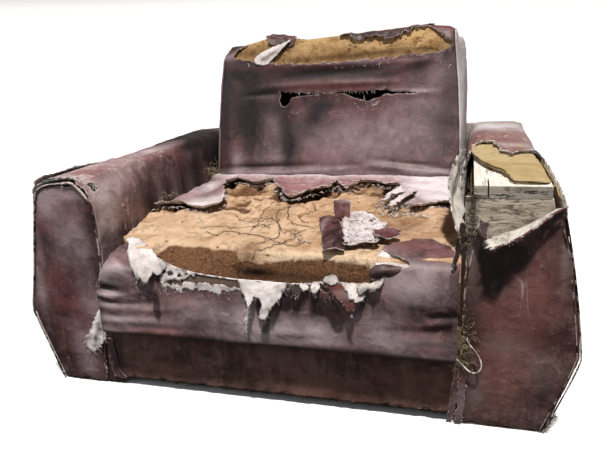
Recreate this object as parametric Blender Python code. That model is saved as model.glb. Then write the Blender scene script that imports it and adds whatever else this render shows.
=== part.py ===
"""Torn two-seat vinyl sofa: wooden frame, webbing, foam and torn covers.

Metres, +Z up, front towards -Y, origin on the floor under the middle of the sofa.
"""

from math import acos, atan2, cos, pi, sin, tan

import bmesh
import bpy
from mathutils import Vector

# Driving dimensions
SEAT_HALF = 0.412  # centre line to the inner face of an arm
DEPTH = 0.908  # front of the seat band to the rear cover
SEAT_OVERHANG = 0.047  # seat band in front of the arm facings
ARM_TOP = 0.532
ARM_TOP_OUT = 0.570  # centre line to an arm's outer top edge
KNEE_OUT = 0.638  # widest point of an arm
KNEE_Z = 0.188
FOOT_OUT = 0.580
SEAT_TOP = 0.385
BACK_TOP = 0.806
BACK_HALF = 0.392
RAKE = 0.227  # run of the back's front face per unit of height
FOAM_BACK_THICK = 0.060
DECK_Z = 0.265  # top of the seat rails

COVER = 0.003  # vinyl on its canvas backing
GAP = 0.0003  # clearance between touching pieces
BOARD = 0.020  # arm boards
PANEL = 0.004  # hardboard panels
STRAP = 0.0022
HESSIAN = 0.0015
WELT_RADIUS = 0.003
CORD_RADIUS = 0.0015

# Places worked out from them
SEAT_FRONT = -DEPTH / 2
REAR = DEPTH / 2
ARM_FRONT = SEAT_FRONT + SEAT_OVERHANG
FRAME_REAR = REAR - COVER - GAP
BACK_SEAT_Y = ARM_FRONT + 0.665  # back's front face where it meets the seat top
BOARD_IN = SEAT_HALF + COVER + 2 * GAP  # inner edge of the arm boards
BASE_HALF = BOARD_IN - GAP  # half width of the base frame
BOARD_TOP = ARM_TOP - 0.0105
FRONT_BOARD_Y = ARM_FRONT + COVER + GAP
REAR_BOARD_Y = FRAME_REAR - BOARD
DECK_TOP = DECK_Z + STRAP + HESSIAN + 3 * GAP  # underside of the foam
SIDES = ((-1, "left"), (1, "right"))


# Materials

def make_material(name, colour, roughness, metallic=0.0):
    mat = bpy.data.materials.new(name)
    mat.diffuse_color = (*colour, 1)
    mat.use_nodes = True
    shader = mat.node_tree.nodes["Principled BSDF"]
    shader.inputs["Base Color"].default_value = (*colour, 1)
    shader.inputs["Roughness"].default_value = roughness
    shader.inputs["Metallic"].default_value = metallic
    return mat


# Shapes

def add_object(name, mesh, mat, bevel=0.0):
    mesh.materials.append(mat)
    obj = bpy.data.objects.new(name, mesh)
    bpy.context.scene.collection.objects.link(obj)
    if bevel:
        mod = obj.modifiers.new("edge", "BEVEL")
        mod.width = bevel
        mod.segments = 1
        mod.limit_method = "ANGLE"
    return obj


def prism(name, outline, start, end, axis, mat, bevel=0.0):
    """Extrudes an outline from start to end along axis. The outline's points are
    (x, z) along Y, (y, z) along X and (x, y) along Z."""
    place = {
        "X": lambda u, v: (start, u, v),
        "Y": lambda u, v: (u, start, v),
        "Z": lambda u, v: (u, v, start),
    }[axis]
    bm = bmesh.new()
    face = bm.faces.new([bm.verts.new(place(u, v)) for u, v in outline])
    moved = bmesh.ops.extrude_face_region(bm, geom=[face])["geom"]
    step = Vector([end - start if axis == letter else 0 for letter in "XYZ"])
    bmesh.ops.translate(bm, vec=step, verts=[v for v in moved if isinstance(v, bmesh.types.BMVert)])
    bmesh.ops.recalc_face_normals(bm, faces=bm.faces)
    mesh = bpy.data.meshes.new(name)
    bm.to_mesh(mesh)
    bm.free()
    return add_object(name, mesh, mat, bevel)


def block(name, low, high, mat, bevel=0.0):
    outline = [(low[0], low[1]), (high[0], low[1]), (high[0], high[1]), (low[0], high[1])]
    return prism(name, outline, low[2], high[2], "Z", mat, bevel)


def side_block(name, side, low, high, mat, bevel=0.0):
    """A block given on the right-hand side, and mirrored across X where side is -1."""
    near, far = sorted((side * low[0], side * high[0]))
    return block(name, (near, low[1], low[2]), (far, high[1], high[2]), mat, bevel)


def mirrored(outline, side):
    return [(side * x, z) for x, z in outline]


def rounded(corners, radii, steps=4):
    """Replaces each corner of a path by an arc of the given radius. Zero keeps it sharp."""
    points = []
    last = len(corners) - 1
    for i, (corner, radius) in enumerate(zip(corners, radii)):
        here = Vector(corner)
        if not radius or i in (0, last):
            points.append(tuple(here))
            continue
        back = (Vector(corners[i - 1]) - here).normalized()
        ahead = (Vector(corners[i + 1]) - here).normalized()
        half = acos(back.dot(ahead)) / 2
        centre = here + (back + ahead).normalized() * radius / sin(half)
        first = here + back * radius / tan(half) - centre
        final = here + ahead * radius / tan(half) - centre
        a = atan2(first.y, first.x)
        turn = (atan2(final.y, final.x) - a + pi) % (2 * pi) - pi
        for k in range(steps + 1):
            angle = a + turn * k / steps
            points.append((centre.x + radius * cos(angle), centre.y + radius * sin(angle)))
    return points


def cut(obj, cutter):
    cutter.hide_render = True
    cutter.display_type = "WIRE"
    mod = obj.modifiers.new("torn away", "BOOLEAN")
    mod.operation = "DIFFERENCE"
    mod.solver = "EXACT"
    mod.object = cutter


def tube(name, points, radius, resolution, mat):
    curve = bpy.data.curves.new(name, "CURVE")
    curve.dimensions = "3D"
    curve.bevel_depth = radius
    curve.bevel_resolution = resolution
    curve.use_fill_caps = True
    spline = curve.splines.new("POLY")
    spline.points.add(len(points) - 1)
    for point, place in zip(spline.points, points):
        point.co = (*place, 1)
    curve.materials.append(mat)
    obj = bpy.data.objects.new(name, curve)
    bpy.context.scene.collection.objects.link(obj)
    return obj


def smooth_route(points, steps):
    """Points on a Catmull-Rom curve through the given ones."""
    route = [Vector(p) for p in points]
    padded = [2 * route[0] - route[1], *route, 2 * route[-1] - route[-2]]
    out = []
    for i in range(1, len(padded) - 2):
        a, b, c, d = padded[i - 1:i + 3]
        for k in range(steps):
            t = k / steps
            out.append(0.5 * (2 * b + (c - a) * t + (2 * a - 5 * b + 4 * c - d) * t**2
                              + (3 * b - a - 3 * c + d) * t**3))
    return [*out, route[-1]]


# The arm's section: inner face, crown, slanting side, knee, and slant in to the floor

def outer_x(z):
    if z >= KNEE_Z:
        return KNEE_OUT + (ARM_TOP_OUT - KNEE_OUT) * (z - KNEE_Z) / (ARM_TOP - KNEE_Z)
    return FOOT_OUT + (KNEE_OUT - FOOT_OUT) * z / KNEE_Z


def arm_section(inset, top, bottom, crown_radius=0.0):
    """Right arm's outline from its inner bottom, over the top, to its outer foot."""
    corners = [
        (SEAT_HALF + inset, bottom),
        (SEAT_HALF + inset, top),
        (outer_x(top) - inset, top),
        (KNEE_OUT - inset, KNEE_Z),
        (outer_x(bottom) - inset, bottom),
    ]
    return rounded(corners, [0, crown_radius, crown_radius * 0.7, 0.06, 0])


def make_arm(side, name, mats):
    wood, foam, vinyl = mats["wood"], mats["foam"], mats["vinyl"]
    edge = COVER + 2 * GAP
    board_section = mirrored(arm_section(edge, BOARD_TOP - BOARD - 2 * GAP, 0), side)
    prism(f"arm_front_board_{name}", board_section, FRONT_BOARD_Y, FRONT_BOARD_Y + BOARD, "Y", mats["plywood"])
    prism(f"arm_rear_board_{name}", board_section, REAR_BOARD_Y, FRAME_REAR, "Y", mats["plywood"])
    side_block(f"arm_top_board_{name}", side, (0.430, FRONT_BOARD_Y, BOARD_TOP - BOARD),
               (0.563, FRAME_REAR, BOARD_TOP), mats["weathered"], 0.004)

    inside = (FRONT_BOARD_Y + BOARD + GAP, REAR_BOARD_Y - GAP)
    side_block(f"arm_bottom_rail_{name}", side, (0.440, inside[0], 0), (0.560, inside[1], 0.035), wood, 0.002)
    panel_x = SEAT_HALF + 0.012
    side_block(f"arm_inner_panel_{name}", side, (panel_x, inside[0], 0.02),
               (panel_x + PANEL, inside[1], 0.497), mats["hardboard"])
    for level, low, high in (("upper", KNEE_Z + 0.018, 0.496), ("lower", 0.012, KNEE_Z - 0.018)):
        plate = [(outer_x(z) - edge - depth, z) for z, depth in ((low, 0), (high, 0), (high, PANEL), (low, PANEL))]
        prism(f"arm_outer_{level}_panel_{name}", mirrored(plate, side), *inside, "Y", mats["hardboard"])

    side_block(f"arm_side_pad_{name}", side, (BOARD_IN, inside[0], DECK_TOP),
               (panel_x - GAP, inside[1], 0.495), foam)
    bare_front = 0.035 if side > 0 else 0.004
    side_block(f"arm_top_foam_{name}", side, (0.447, ARM_FRONT + bare_front, BOARD_TOP + GAP),
               (0.543, FRAME_REAR, ARM_TOP - COVER - GAP), foam, 0.002)

    # Cover: one wrap from the seat deck over the top and down to the floor
    outside = arm_section(0, ARM_TOP, 0.003, 0.030)
    inner = arm_section(COVER, ARM_TOP - COVER, 0.003, 0.030)
    outside[0], inner[0] = (SEAT_HALF, DECK_TOP), (SEAT_HALF + COVER, DECK_TOP)
    wrap = prism(f"arm_cover_{name}", mirrored(outside + inner[::-1], side), FRONT_BOARD_Y, FRAME_REAR, "Y", vinyl)
    facing_top = arm_section(0, ARM_TOP - 0.002, 0.003, 0.034)
    facing = prism(f"arm_facing_{name}", mirrored(facing_top, side), ARM_FRONT, ARM_FRONT + COVER, "Y", vinyl)
    if side > 0:
        # The front of the top is bare, and the facing is torn off above a slanting line
        cut(wrap, block("torn_arm_top", (0.40, -0.5, 0.46), (0.66, ARM_FRONT + 0.29, 0.60), vinyl))
        slant = [(0.40, 0.385), (0.66, 0.517), (0.66, 0.60), (0.40, 0.60)]
        cut(facing, prism("torn_facing", slant, ARM_FRONT - 0.02, ARM_FRONT + 0.02, "Y", vinyl))

    # Welt along the facing's edge, standing on its front. The right one is torn off over the top
    inset = WELT_RADIUS + 0.001
    section = arm_section(inset, ARM_TOP - inset - 0.004, 0.005, 0.030)
    runs = {name: section}
    if side > 0:
        inner_x = SEAT_HALF + inset
        runs = {f"{name}_inner": [(inner_x, 0.005), (inner_x, 0.400)], f"{name}_outer": section[-6:]}
    for run, path in runs.items():
        route = [(side * x, ARM_FRONT - GAP - WELT_RADIUS, z) for x, z in path]
        tube(f"arm_welt_{run}", route, WELT_RADIUS, 2, mats["welt"])


# Base frame, seat deck and seat

def make_base(mats):
    wood = mats["wood"]
    front_rail_back = ARM_FRONT - 0.018
    side_rail_in, post_in = 0.385, 0.360
    rear_rail = (0.3155, 0.3377)
    apron_top = 0.168
    apron_back = ARM_FRONT + 0.022
    between_arms = SEAT_HALF - GAP

    block("front_rail", (-between_arms, SEAT_FRONT + COVER + GAP, 0.1736),
          (between_arms, front_rail_back, DECK_Z), wood, 0.002)
    block("front_ledge", (-post_in + GAP, front_rail_back + GAP, apron_top + GAP),
          (post_in - GAP, ARM_FRONT + 0.030, 0.190), wood, 0.002)
    block("rear_rail", (-BASE_HALF, rear_rail[0], 0.175), (BASE_HALF, rear_rail[1], DECK_Z), wood, 0.002)
    block("apron_board", (-between_arms, ARM_FRONT + COVER + 0.001, 0.022),
          (between_arms, apron_back, apron_top), wood, 0.002)
    block("rear_lower_rail", (-BASE_HALF, REAR_BOARD_Y, 0.022), (BASE_HALF, FRAME_REAR, 0.120), wood, 0.002)
    for side, name in SIDES:
        side_block(f"side_rail_{name}", side, (side_rail_in, FRONT_BOARD_Y, 0.175),
                   (BASE_HALF, rear_rail[0] - GAP, DECK_Z), wood, 0.002)
        side_block(f"front_corner_post_{name}", side, (post_in, apron_back + GAP, 0.022),
                   (BASE_HALF, ARM_FRONT + 0.060, 0.175 - GAP), wood, 0.002)
        side_block(f"rear_corner_post_{name}", side, (post_in, rear_rail[1] + GAP, 0.022),
                   (BASE_HALF, REAR_BOARD_Y - GAP, 0.120), wood, 0.002)

    strap_ends = (SEAT_FRONT + 0.007, rear_rail[1] - 0.003)
    for i in range(4):
        x = (i - 1.5) * 0.18
        block(f"seat_strap_{i + 1}", (x - 0.03, strap_ends[0], DECK_Z + GAP),
              (x + 0.03, strap_ends[1], DECK_Z + GAP + STRAP), mats["webbing"])
    block("seat_hessian", (-0.405, SEAT_FRONT + 0.0035, DECK_TOP - GAP - HESSIAN),
          (0.405, strap_ends[1], DECK_TOP - GAP), mats["hessian"])
    block("dust_cover", (-0.405, ARM_FRONT + COVER + 0.001, 0.0195), (0.405, FRAME_REAR, 0.0217), mats["cambric"])


def back_y(z):
    """Front face of the back's cover at height z."""
    return BACK_SEAT_Y + (z - 0.38) * RAKE


def make_seat(mats):
    foam_front = SEAT_FRONT + COVER + GAP
    section = [
        (foam_front, DECK_TOP), (foam_front, 0.322), (foam_front + 0.014, 0.339), (foam_front + 0.07, 0.366),
        (foam_front + 0.14, SEAT_TOP), (back_y(SEAT_TOP) - 2 * GAP, SEAT_TOP), (back_y(DECK_TOP) - 2 * GAP, DECK_TOP),
    ]
    half = SEAT_HALF - GAP
    prism("seat_foam", section, -half, half, "X", mats["foam"])

    # Cover: what is left is the front band, a strip tucked in at the back, and a loose scrap
    low, high = 0.170, 0.335
    back = ARM_FRONT - 0.0183
    band = [(SEAT_FRONT, low), (back, low), (back, low + COVER), (SEAT_FRONT + COVER, low + COVER),
            (SEAT_FRONT + COVER, high - 0.012), (SEAT_FRONT, high)]
    prism("seat_front_band", band, -half, half, "X", mats["vinyl"])
    block("seat_rear_strip", (-0.385, 0.030, SEAT_TOP + GAP), (0.385, 0.252, SEAT_TOP + GAP + 0.002), mats["vinyl"])
    block("seat_cover_scrap", (0.100, -0.300, SEAT_TOP + GAP), (0.220, -0.120, SEAT_TOP + 0.012), mats["vinyl"], 0.003)
    block("apron_cover", (-half, ARM_FRONT, 0.0205), (half, ARM_FRONT + COVER, 0.166), mats["vinyl"])


# Back

def raked(depth, low, high, thickness):
    """(y, z) outline of a slab that follows the back's rake, its front at depth behind the cover."""
    return [(back_y(low) + depth, low), (back_y(low) + depth + thickness, low),
            (back_y(high) + depth + thickness, high), (back_y(high) + depth, high)]


def make_back(mats):
    foam_depth = COVER + 0.0004
    hessian_depth = foam_depth + FOAM_BACK_THICK + GAP
    strap_depth = hessian_depth + HESSIAN + GAP
    post_depth = strap_depth + STRAP + GAP
    inside_half = BACK_HALF - COVER - GAP
    post_out, post_thick = 0.388, 0.022
    post_foot = 0.120 + GAP
    notch_y, notch_z = 0.3380, DECK_TOP
    post = [
        (notch_y, post_foot), (FRAME_REAR, post_foot), (FRAME_REAR, 0.800),
        (back_y(0.800) + post_depth, 0.800), (back_y(0.300) + post_depth, 0.300),
        (back_y(0.300) + post_depth, notch_z), (notch_y, notch_z),
    ]
    for side, name in SIDES:
        near, far = sorted((side * (post_out - post_thick), side * post_out))
        prism(f"back_post_{name}", post, near, far, "X", mats["wood"])
    rail_half = post_out - post_thick - GAP
    block("back_top_rail", (-rail_half, FRAME_REAR - 0.024, 0.745), (rail_half, FRAME_REAR, 0.800), mats["wood"], 0.002)
    prism("back_lower_rail", raked(post_depth, 0.300, 0.360, post_thick), -rail_half, rail_half, "X", mats["wood"], 0.002)
    for i, z in enumerate((0.42, 0.60)):
        prism(f"back_strap_{i + 1}", raked(strap_depth, z, z + 0.06, STRAP), -0.385, 0.385, "X", mats["webbing"])
    prism("back_hessian", raked(hessian_depth, 0.290, 0.795, HESSIAN), -0.385, 0.385, "X", mats["hessian"])
    foam = raked(foam_depth, DECK_TOP, BACK_TOP, FOAM_BACK_THICK)
    prism("back_foam", foam, -inside_half, inside_half, "X", mats["foam"], 0.012)

    # Front cover with its side boxing, open at the torn top and along a slit
    low, torn_z, beyond = DECK_TOP + 0.002, 0.765, 0.05
    outside = [(back_y(low), low), (FRAME_REAR, low), (FRAME_REAR, BACK_TOP), (back_y(BACK_TOP), BACK_TOP)]
    cover = prism("back_front_cover", outside, -BACK_HALF, BACK_HALF, "X", mats["vinyl"])
    ends = (low - beyond, BACK_TOP + beyond)
    hollow = [(back_y(ends[0]) + COVER, ends[0]), (REAR + beyond, ends[0]),
              (REAR + beyond, ends[1]), (back_y(ends[1]) + COVER, ends[1])]
    skin_half = BACK_HALF - COVER
    cut(cover, prism("back_hollow", hollow, -skin_half, skin_half, "X", mats["vinyl"]))
    cut(cover, block("torn_back_top", (-0.33, 0, torn_z), (0.36, REAR + beyond, BACK_TOP + beyond), mats["vinyl"]))
    slit = [(-0.18, 0.650), (-0.14, 0.612), (-0.10, 0.640), (0.08, 0.640), (0.12, 0.618), (0.16, 0.640),
            (0.30, 0.643), (0.10, 0.652), (-0.10, 0.654)]
    cut(cover, prism("back_slit", slit, back_y(0.6) - beyond, back_y(0.7) + 0.02, "Y", mats["vinyl"]))

    # Rear cover: one panel over the back and both arms
    half_outline = [(FOOT_OUT, 0.003), (KNEE_OUT, KNEE_Z), (ARM_TOP_OUT, ARM_TOP),
                    (BACK_HALF, ARM_TOP), (BACK_HALF, BACK_TOP - 0.004)]
    outline = half_outline + mirrored(half_outline[::-1], -1)
    prism("rear_cover", outline, REAR - COVER, REAR, "Y", mats["vinyl"])
    ridge = BACK_TOP + GAP
    flap = [(REAR - 0.006, ridge), (REAR - 0.006, ridge + COVER), (0.402, 0.834), (0.388, 0.834), (0.372, ridge)]
    prism("back_top_flap", flap, 0.02, 0.32, "X", mats["vinyl"])


# White filler cord of the welt, hanging in a loop. It leaves the right facing beside the inner
# welt, falls and turns, crosses back in front of the welt and goes in under the seat band.
CORD_ROUTE = [
    (0.4275, ARM_FRONT - GAP, 0.2055), (0.4275, ARM_FRONT - 0.0060, 0.2055), (0.4310, ARM_FRONT - 0.0110, 0.2000),
    (0.4370, ARM_FRONT - 0.0130, 0.1930), (0.4440, ARM_FRONT - 0.0140, 0.1850), (0.4510, ARM_FRONT - 0.0150, 0.1740),
    (0.4560, ARM_FRONT - 0.0155, 0.1620), (0.4565, ARM_FRONT - 0.0155, 0.1500), (0.4520, ARM_FRONT - 0.0150, 0.1400),
    (0.4440, ARM_FRONT - 0.0145, 0.1355), (0.4350, ARM_FRONT - 0.0140, 0.1370), (0.4270, ARM_FRONT - 0.0130, 0.1430),
    (0.4190, ARM_FRONT - 0.0115, 0.1510), (0.4130, ARM_FRONT - 0.0092, 0.1570), (0.4085, ARM_FRONT - 0.0055, 0.1590),
    (0.4085, ARM_FRONT - GAP, 0.1590),
]


def main():
    for obj in list(bpy.data.objects):
        bpy.data.objects.remove(obj)
    mats = {
        "wood": make_material("frame wood", (0.45, 0.31, 0.18), 0.75),
        "plywood": make_material("board wood", (0.33, 0.28, 0.19), 0.8),
        "weathered": make_material("weathered wood", (0.42, 0.40, 0.37), 0.85),
        "hardboard": make_material("hardboard", (0.22, 0.13, 0.07), 0.8),
        "foam": make_material("foam", (0.70, 0.45, 0.16), 0.95),
        "vinyl": make_material("vinyl", (0.10, 0.045, 0.055), 0.5),
        "welt": make_material("welt", (0.35, 0.12, 0.10), 0.55),
        "webbing": make_material("webbing", (0.40, 0.33, 0.22), 0.9),
        "hessian": make_material("hessian", (0.45, 0.36, 0.24), 0.95),
        "cambric": make_material("cambric", (0.03, 0.03, 0.035), 0.9),
        "cord": make_material("filler cord", (0.80, 0.78, 0.72), 0.85),
    }
    for side, name in SIDES:
        make_arm(side, name, mats)
    make_base(mats)
    make_seat(mats)
    make_back(mats)
    tube("filler_cord", smooth_route(CORD_ROUTE, 2), CORD_RADIUS, 2, mats["cord"])


main()
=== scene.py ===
import math

import bmesh
import bpy
import numpy as np
from mathutils import Matrix, Vector


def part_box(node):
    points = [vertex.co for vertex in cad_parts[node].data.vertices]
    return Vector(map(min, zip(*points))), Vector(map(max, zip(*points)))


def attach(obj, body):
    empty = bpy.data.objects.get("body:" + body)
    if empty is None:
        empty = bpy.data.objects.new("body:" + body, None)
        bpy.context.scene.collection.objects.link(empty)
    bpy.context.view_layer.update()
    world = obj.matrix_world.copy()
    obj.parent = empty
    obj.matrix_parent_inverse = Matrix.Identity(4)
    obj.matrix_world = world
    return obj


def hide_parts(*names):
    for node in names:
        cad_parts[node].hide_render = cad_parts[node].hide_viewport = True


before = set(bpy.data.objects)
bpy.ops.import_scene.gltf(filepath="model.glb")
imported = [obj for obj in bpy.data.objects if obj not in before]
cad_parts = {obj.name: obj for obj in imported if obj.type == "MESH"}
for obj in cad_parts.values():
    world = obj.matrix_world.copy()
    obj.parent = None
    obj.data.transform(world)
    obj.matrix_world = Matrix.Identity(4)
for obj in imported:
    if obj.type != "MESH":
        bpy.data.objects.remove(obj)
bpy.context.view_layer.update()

# Places that the whole sofa shares, read from the frame
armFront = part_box("arm_facing_left")[0].y
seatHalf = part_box("seat_front_band")[1].x
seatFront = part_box("seat_front_band")[0].y
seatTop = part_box("seat_foam")[1].z
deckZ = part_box("seat_foam")[0].z
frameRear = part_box("arm_cover_left")[1].y
skin = 0.0016  # vinyl with its cotton backing
seamGap = 0.0004  # between the front of a facing and what it lies on


# Camera, at standing height in front and to the right
cameraPlace = {"place": (0.4198, -1.5114, 0.7895), "yaw": 0.2847, "pitch": -0.3037, "roll": -0.0543,
               "lens": 34.02}


def makeCamera(c):
    yaw, pitch, roll = c["yaw"], c["pitch"], c["roll"]
    ahead = Vector((-math.sin(yaw) * math.cos(pitch), math.cos(yaw) * math.cos(pitch), math.sin(pitch)))
    level = Vector((math.cos(yaw), math.sin(yaw), 0))
    upright = level.cross(ahead)
    right = level * math.cos(roll) + upright * math.sin(roll)
    up = upright * math.cos(roll) - level * math.sin(roll)
    data = bpy.data.cameras.new("camera")
    data.lens = c["lens"]
    data.sensor_width = 36
    camera = bpy.data.objects.new("camera", data)
    bpy.context.scene.collection.objects.link(camera)
    turn = Matrix((right, up, -ahead)).transposed()
    camera.matrix_world = Matrix.Translation(c["place"]) @ turn.to_4x4()
    bpy.context.scene.camera = camera


makeCamera(cameraPlace)
print("camera placed")


# Shader maths: a Value wraps a socket, and its operators add Math nodes
class Value:
    def __init__(self, finish, socket):
        self.finish, self.socket = finish, socket

    def calc(self, operation, *terms, clamp=False):
        return self.finish.node("Math", {"operation": operation, "use_clamp": clamp}, list(terms))

    def __add__(self, other):
        return self.calc("ADD", self, other)

    def __radd__(self, other):
        return self.calc("ADD", other, self)

    def __sub__(self, other):
        return self.calc("SUBTRACT", self, other)

    def __rsub__(self, other):
        return self.calc("SUBTRACT", other, self)

    def __mul__(self, other):
        return self.calc("MULTIPLY", self, other)

    def __rmul__(self, other):
        return self.calc("MULTIPLY", other, self)

    def clamp(self):
        return self.calc("ADD", self, 0.0, clamp=True)

    def over(self, low, high):
        # 0 below low, 1 above high, smooth between
        return self.finish.node("MapRange", {"interpolation_type": "SMOOTHSTEP"},
                                {"Value": self, "From Min": low, "From Max": high})


class Finish:
    def __init__(self, name, roughness=0.5, specular=0.5):
        self.material = bpy.data.materials.new(name)
        self.material.use_nodes = True
        self.tree = self.material.node_tree
        self.shader = self.tree.nodes["Principled BSDF"]
        self.shader.inputs["Roughness"].default_value = roughness
        self.shader.inputs["Specular IOR Level"].default_value = specular
        self.place = self.node("TexCoord", {}, {}, "Object")

    def node(self, kind, settings, inputs, output=0):
        # kind without its ShaderNode prefix, then settings, then values or links of the sockets
        made = self.tree.nodes.new("ShaderNode" + kind)
        for key, value in settings.items():
            setattr(made, key, value)
        pairs = inputs.items() if isinstance(inputs, dict) else enumerate(inputs)
        for key, value in pairs:
            socket = made.inputs[key]
            if isinstance(value, Value):
                self.tree.links.new(value.socket, socket)
            elif isinstance(value, tuple) and len(value) == 3 and socket.type == "RGBA":
                socket.default_value = (*value, 1)
            else:
                socket.default_value = value
        return Value(self, made.outputs[output])

    def noise(self, scale, detail=4.0, rough=0.55, place=None, warp=0.0, stretch=None):
        place = place or self.place
        if stretch:
            place = self.node("Mapping", {}, {"Vector": place, "Scale": stretch})
        return self.node("TexNoise", {}, {"Vector": place, "Scale": scale, "Detail": detail,
                                          "Roughness": rough, "Distortion": warp})

    def cells(self, scale, feature="F1", place=None, stretch=None):
        place = place or self.place
        if stretch:
            place = self.node("Mapping", {}, {"Vector": place, "Scale": stretch})
        return self.node("TexVoronoi", {"feature": feature}, {"Vector": place, "Scale": scale})

    def attribute(self, name):
        return self.node("Attribute", {"attribute_name": name}, {}, "Fac")

    def mix(self, share, first, second):
        # sockets 0, 6, 7 are a Mix node's factor and its two colours
        return self.node("Mix", {"data_type": "RGBA"}, {0: share, 6: first, 7: second}, 2)

    def bump(self, height, strength, distance, below=None):
        links = {"Height": height, "Strength": strength, "Distance": distance}
        if below:
            links["Normal"] = below
        return self.node("Bump", {}, links)

    def finish(self, colour, roughness=None, normal=None):
        for name, value in (("Base Color", colour), ("Roughness", roughness), ("Normal", normal)):
            if value is not None:
                self.tree.links.new(value.socket, self.shader.inputs[name])
        return self.material


# Tables of outlines, folds and patches are in mm, and all else is in metres. In each row of a table this
# many numbers are lengths, and the rest have no unit
rowLengths = {"cell": 1, "thick": 1, "radius": 1, "curl": 2, "rumples": 2, "outline": 3, "holes": 3,
              "route": 3, "pale": 4, "worn": 4, "dark": 4, "soot": 4, "grime": 4, "folds": 6, "slope": 99,
              "shade": 99, "ridge": 99, "lift": 99, "out": 99, "drop": 99, "rim": 1, "roll": 1}


def mm(value, lengths=99):
    # metres, from one number or from rows of them
    if isinstance(value, (int, float)):
        return round(value / 1000, 7)
    if isinstance(value[0], (int, float)):
        return type(value)([*map(mm, value[:lengths]), *value[lengths:]])
    return type(value)(mm(row, lengths) for row in value)


def metres(piece):
    return {key: mm(value, rowLengths[key]) if key in rowLengths else value for key, value in piece.items()}


# Shaping helpers: cloth is cut flat, then laid on a surface by a place(u, v, height) function
def ripple(u, v, size, seed, stretch=1.0):
    # soft random heights from -1 to 1, the same each run
    table = np.random.RandomState(seed).rand(64, 64) * 2 - 1
    a, b = np.asarray(u, float) / size / stretch, np.asarray(v, float) / size
    i, j = np.floor(a).astype(int), np.floor(b).astype(int)
    s, t = a - i, b - j
    s, t = s * s * (3 - 2 * s), t * t * (3 - 2 * t)
    low = table[i % 64, j % 64] * (1 - s) + table[(i + 1) % 64, j % 64] * s
    high = table[i % 64, (j + 1) % 64] * (1 - s) + table[(i + 1) % 64, (j + 1) % 64] * s
    return low * (1 - t) + high * t


def relief(u, v, piece):
    # folds are (u1, v1, u2, v2, width, rise), rumples are (size, depth, seed, stretch along u)
    height = np.zeros(np.shape(u))
    for u1, v1, u2, v2, width, rise in piece.get("folds", ()):
        du, dv = u2 - u1, v2 - v1
        t = np.clip(((u - u1) * du + (v - v1) * dv) / (du * du + dv * dv + 1e-12), 0, 1)
        gap = np.hypot(u - u1 - t * du, v - v1 - t * dv)
        height = height + rise * np.exp(-(gap / width) ** 2) * (0.4 + 0.6 * np.sin(math.pi * t))
    for size, depth, seed, stretch in piece.get("rumples", ()):
        height = height + depth * ripple(u, v, size, seed, stretch)
    return height


def smoothPath(points, steps=6):
    route = np.array(points, float)
    route = np.vstack([2 * route[0] - route[1], route, 2 * route[-1] - route[-2]])
    out = []
    for a, b, c, d in zip(route, route[1:], route[2:], route[3:]):
        for t in np.arange(steps) / steps:
            out.append(0.5 * (2 * b + (c - a) * t + (2 * a - 5 * b + 4 * c - d) * t ** 2
                              + (3 * b - a - 3 * c + d) * t ** 3))
    return np.array([*out, route[-2]])


def cutOutline(corners, rng, ragged):
    # corners are (u, v, roughness of the edge that follows); gives close points, and which edges are torn
    points, torn = [], []
    for (u1, v1, rough), (u2, v2, _) in zip(corners, [*corners[1:], corners[0]]):
        length = math.hypot(u2 - u1, v2 - v1)
        steps = max(1, round(length / 0.005)) if rough else 1
        side = np.array((v2 - v1, u1 - u2)) / max(length, 1e-9)
        slow = rng.uniform(-1, 1, steps + 2)
        for k in range(steps):
            t = k / steps
            nudge = (rng.uniform(-1, 1) * 0.7 + 1.1 * slow[k // 3]) * rough * ragged * (0.4 if k == 0 else 1)
            slide = rng.uniform(-0.3, 0.3) / steps if k else 0
            points.append(np.array((u1, v1)) + (t + slide) * np.array((u2 - u1, v2 - v1)) + side * nudge)
            torn.append(rough > 0)
    return np.array(points), np.array(torn)


def toEdge(points, outline, torn):
    # signed distance to a closed outline, positive inside, its nearest point, and the distance to torn edges
    signed, nearest, rag = np.zeros(len(points)), np.zeros((len(points), 2)), np.full(len(points), 1.0)
    start, end = outline, np.roll(outline, -1, axis=0)
    run = end - start
    for first in range(0, len(points), 3000):
        p = points[first:first + 3000]
        t = ((p[:, None] - start) * run).sum(2) / np.maximum((run * run).sum(1), 1e-12)
        spot = start + np.clip(t, 0, 1)[..., None] * run
        gap = np.linalg.norm(p[:, None] - spot, axis=2)
        best = gap.argmin(1)
        above = (start[:, 1] > p[:, 1:]) != (end[:, 1] > p[:, 1:])
        rise = np.where(run[:, 1] == 0, 1e-12, run[:, 1])
        cross = above & (p[:, :1] < (p[:, 1:] - start[:, 1]) / rise * run[:, 0] + start[:, 0])
        inside = cross.sum(1) % 2 == 1
        rows = np.arange(len(p))
        signed[first:first + 3000] = np.where(inside, 1, -1) * gap[rows, best]
        nearest[first:first + 3000] = spot[rows, best]
        if torn.any():
            rag[first:first + 3000] = gap[:, torn].min(1)
    return signed, nearest, rag


def meshFrom(bm, name, *finishes):
    mesh = bpy.data.meshes.new(name)
    bm.to_mesh(mesh)
    bm.free()
    for finish in finishes:
        mesh.materials.append(finish)
    return mesh


def setTone(mesh, name, values):
    mesh.attributes.new(name, "FLOAT", "POINT").data.foreach_set("value", np.asarray(values, np.float32))


def tones(u, v, spots):
    # soft patches, each (u, v, half width, half height, strength)
    total = np.zeros(len(u))
    for u0, v0, wide, high, strength in spots:
        total += strength * np.exp(-((u - u0) / wide) ** 2 - ((v - v0) / high) ** 2)
    return np.clip(total, 0, 1)


def seat(obj, slot, *nodes):
    # puts a finished piece on the sofa's only body
    bpy.context.scene.collection.objects.link(obj)
    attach(obj, "root")
    if nodes:
        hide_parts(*nodes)
    return obj


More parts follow.
